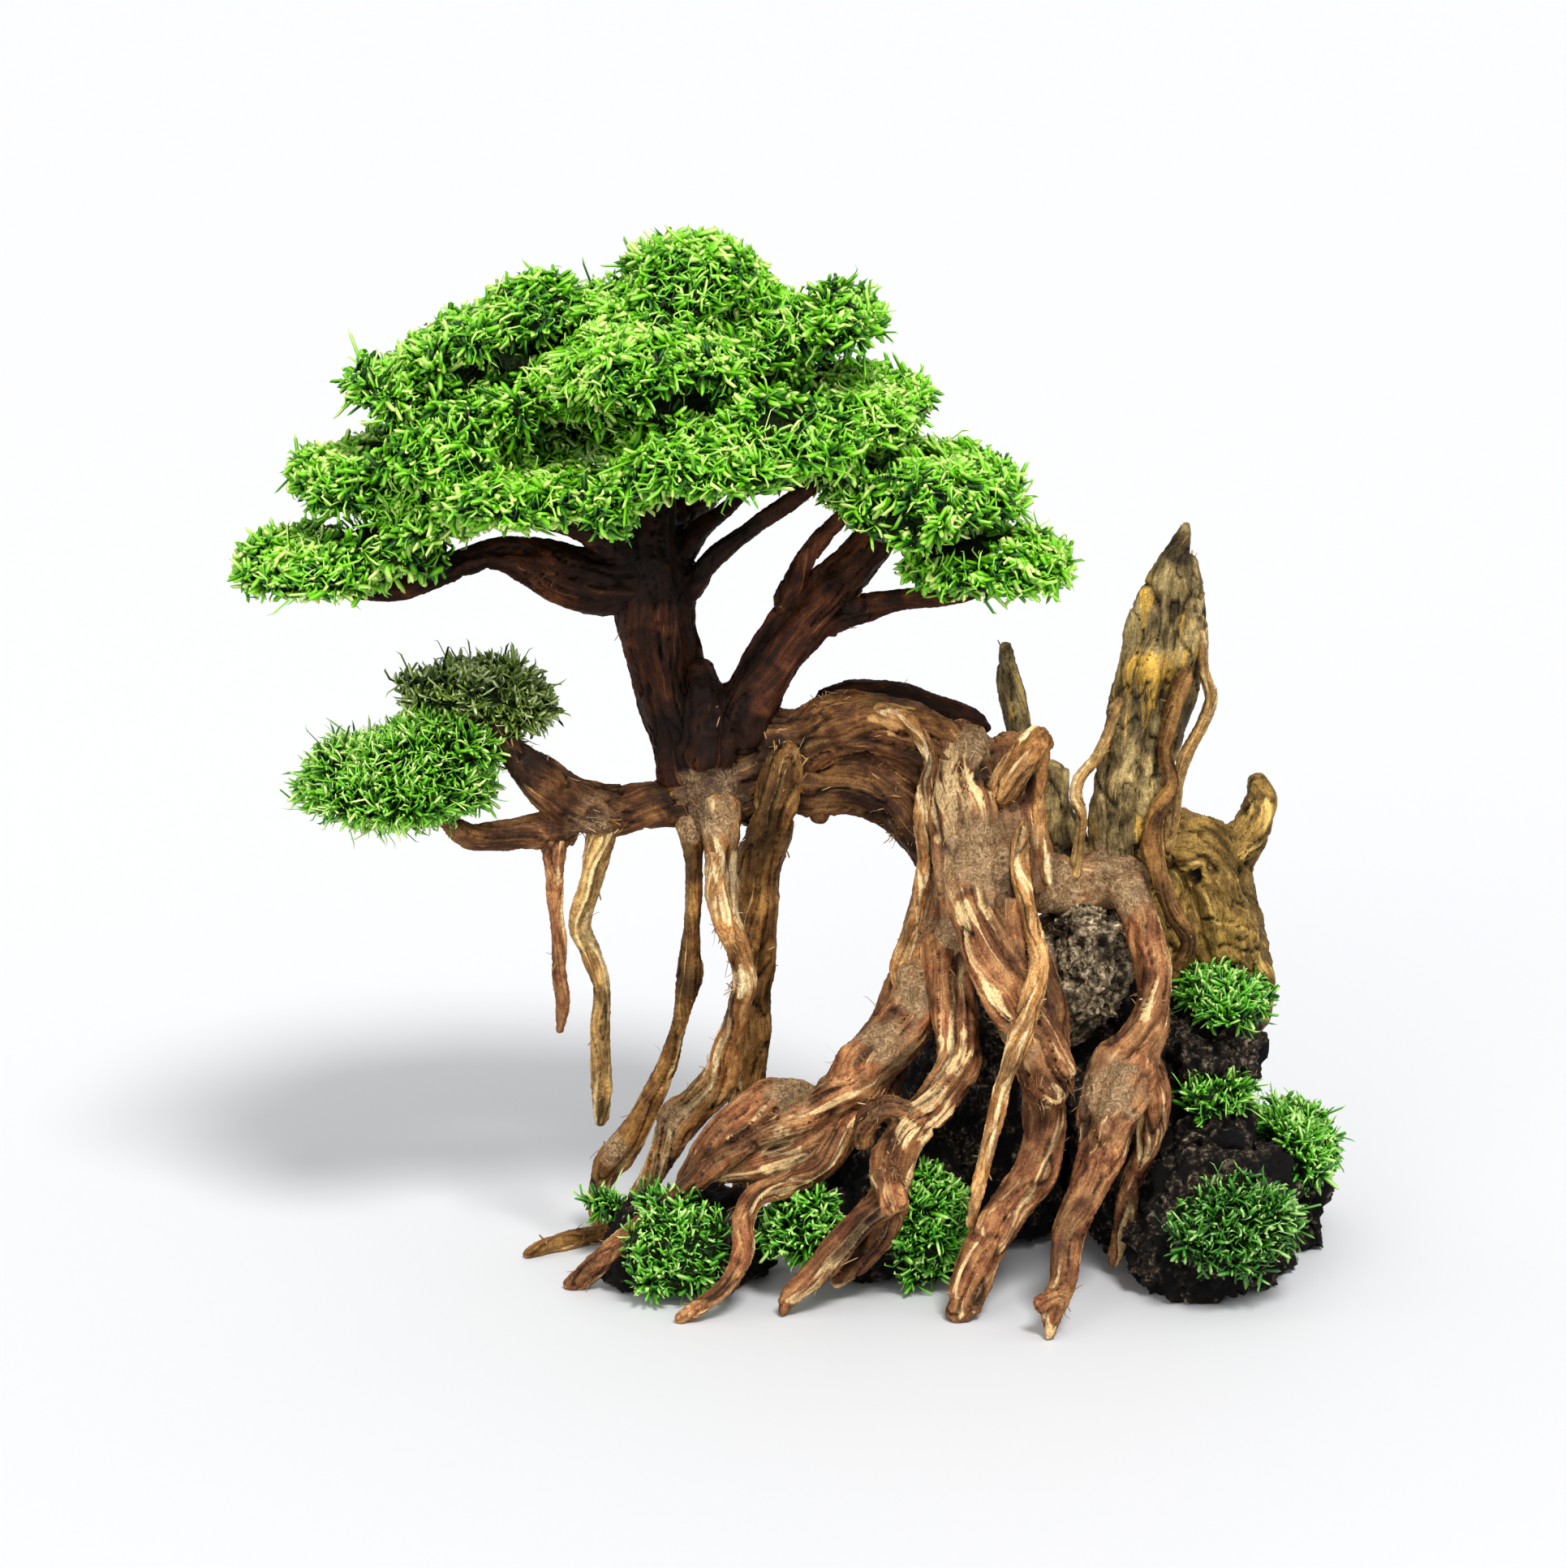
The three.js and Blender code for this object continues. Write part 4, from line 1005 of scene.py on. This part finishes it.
FINISHES = {
    "dark_wood": wood_finish("dark_wood", "160803", "361a0b", "58301a", "7a4c2c", 0.62),
    # A darker copy of red wood, its sawdust darker too: painted shade of the crown.
    "shade_wood": wood_finish("shade_wood", "2a1407", "5f3a20", "8f643a", "c0925a", 0.6,
                              ("38261a", "6a5039", "9c8262")),
    "red_wood": wood_finish("red_wood", "40220f", "855333", "b07f50", "e2bd86", 0.58),
    "pale_wood": wood_finish("pale_wood", "6a3f1c", "aa7540", "d0a066", "f2d29c", 0.56),
    "tan_wood": wood_finish("tan_wood", "452a10", "82592e", "ad8046", "d8b272", 0.6),
    "honey_wood": wood_finish("honey_wood", "6b4a22", "a8804a", "d0a866", "ecd098", 0.58),
    "olive_wood": wood_finish("olive_wood", "30260f", "786440", "b09862", "c49a44", 0.61),
    "ochre_wood": wood_finish("ochre_wood", "382608", "755a2c", "a07f40", "c6a25a", 0.6),
    "stone": stone_finish("stone", "080504", "30261c", "857660", 0.44),
    "pale_stone": stone_finish("pale_stone", "30261a", "8c785c", "dcc8a4", 0.34),
    "crown_leaf": leaf_finish("crown_leaf", "010c00", "226a02", "84de12", "e8ff90"),
    "side_leaf": leaf_finish("side_leaf", "010c00", "266e06", "82d822", "ecffa4"),
    "olive_leaf": leaf_finish("olive_leaf", "060c01", "38540e", "98b844", "f2ffc0"),
    "rock_moss": leaf_finish("rock_moss", "020c01", "1c5c06", "60bc1e", "d0f88c"),
    "shade_moss": leaf_finish("shade_moss", "020c01", "143c08", "3c8c14", "b4e080"),
    "splinter": splinter_finish(),
    "mat": mat_finish(),
}

PAD_LEAVES = {"side_pad_low": "side_leaf", "side_pad_high": "olive_leaf"}
# The moss ball takes a darker copy of the rock moss: painted shade.
ROCK_MOSS = {"moss_ball": "shade_moss"}


# ---------------------------------------------------------------- the tree on its rocks

def build():
    for name in WOOD:
        wood_piece(name)
    slots = {row["node"]: row["material_slot"] for row in frame["record"]["subparts"]}
    for node, slot in slots.items():
        if slot in ("stone", "pale_stone"):
            stone_piece(node, slot)
        elif slot == "moss":
            moss_piece(node, slot, "rock_moss", ROCK_MOSS.get(node, "rock_moss"), 0.7)
        elif node in PAD_LEAVES:
            moss_piece(node, slot, "side_leaf", PAD_LEAVES[node], 0.6)
        elif slot == "leaf":
            moss_piece(node, slot, "crown_leaf", "crown_leaf", 0.5)


# ---------------------------------------------------------------- table top, light and camera

LOOK_AT = np.array((-0.004, 0, 0.15))
CAMERA_TILT = radians(12)
CAMERA_AWAY = 1.6
LENS = 119.25


def stage():
    bpy.ops.object.select_all(action="DESELECT")
    bpy.ops.mesh.primitive_plane_add(size=30, location=(0, 0, -0.0002))
    floor = bpy.context.object
    floor.name = "floor"
    surface = Finish("plain_floor", 0.6, 0.2)
    surface.shader.inputs["Base Color"].default_value = (0.74, 0.74, 0.75, 1)
    floor.data.materials.append(surface.material)


def soft_sun(name, height, bearing, spread, power):
    """An even light from a height and a bearing, in degrees, where bearing 0 is the front."""
    light = bpy.data.lights.new(name, "SUN")
    light.angle = radians(spread)
    light.energy = power
    lamp = bpy.data.objects.new(name, light)
    lamp.rotation_euler = (radians(90 - height), 0, radians(bearing))
    bpy.context.scene.collection.objects.link(lamp)


def light_and_camera():
    world = bpy.data.worlds.new("studio")
    world.use_nodes = True
    world.node_tree.nodes["Background"].inputs["Color"].default_value = (0.97, 0.98, 1, 1)
    world.node_tree.nodes["Background"].inputs["Strength"].default_value = 0.72
    bpy.context.scene.world = world
    soft_sun("key", 52, 18, 16, 2.4)
    soft_sun("front", 20, -25, 35, 0.7)

    camera = bpy.data.objects.new("camera", bpy.data.cameras.new("camera"))
    back = np.array((0, -cos(CAMERA_TILT), sin(CAMERA_TILT)))
    camera.location = LOOK_AT + CAMERA_AWAY * back
    camera.rotation_euler = (pi / 2 - CAMERA_TILT, 0, 0)
    camera.data.lens = LENS
    bpy.context.scene.collection.objects.link(camera)
    bpy.context.scene.camera = camera
    bpy.context.scene.view_settings.view_transform = "Standard"


build()
stage()
light_and_camera()
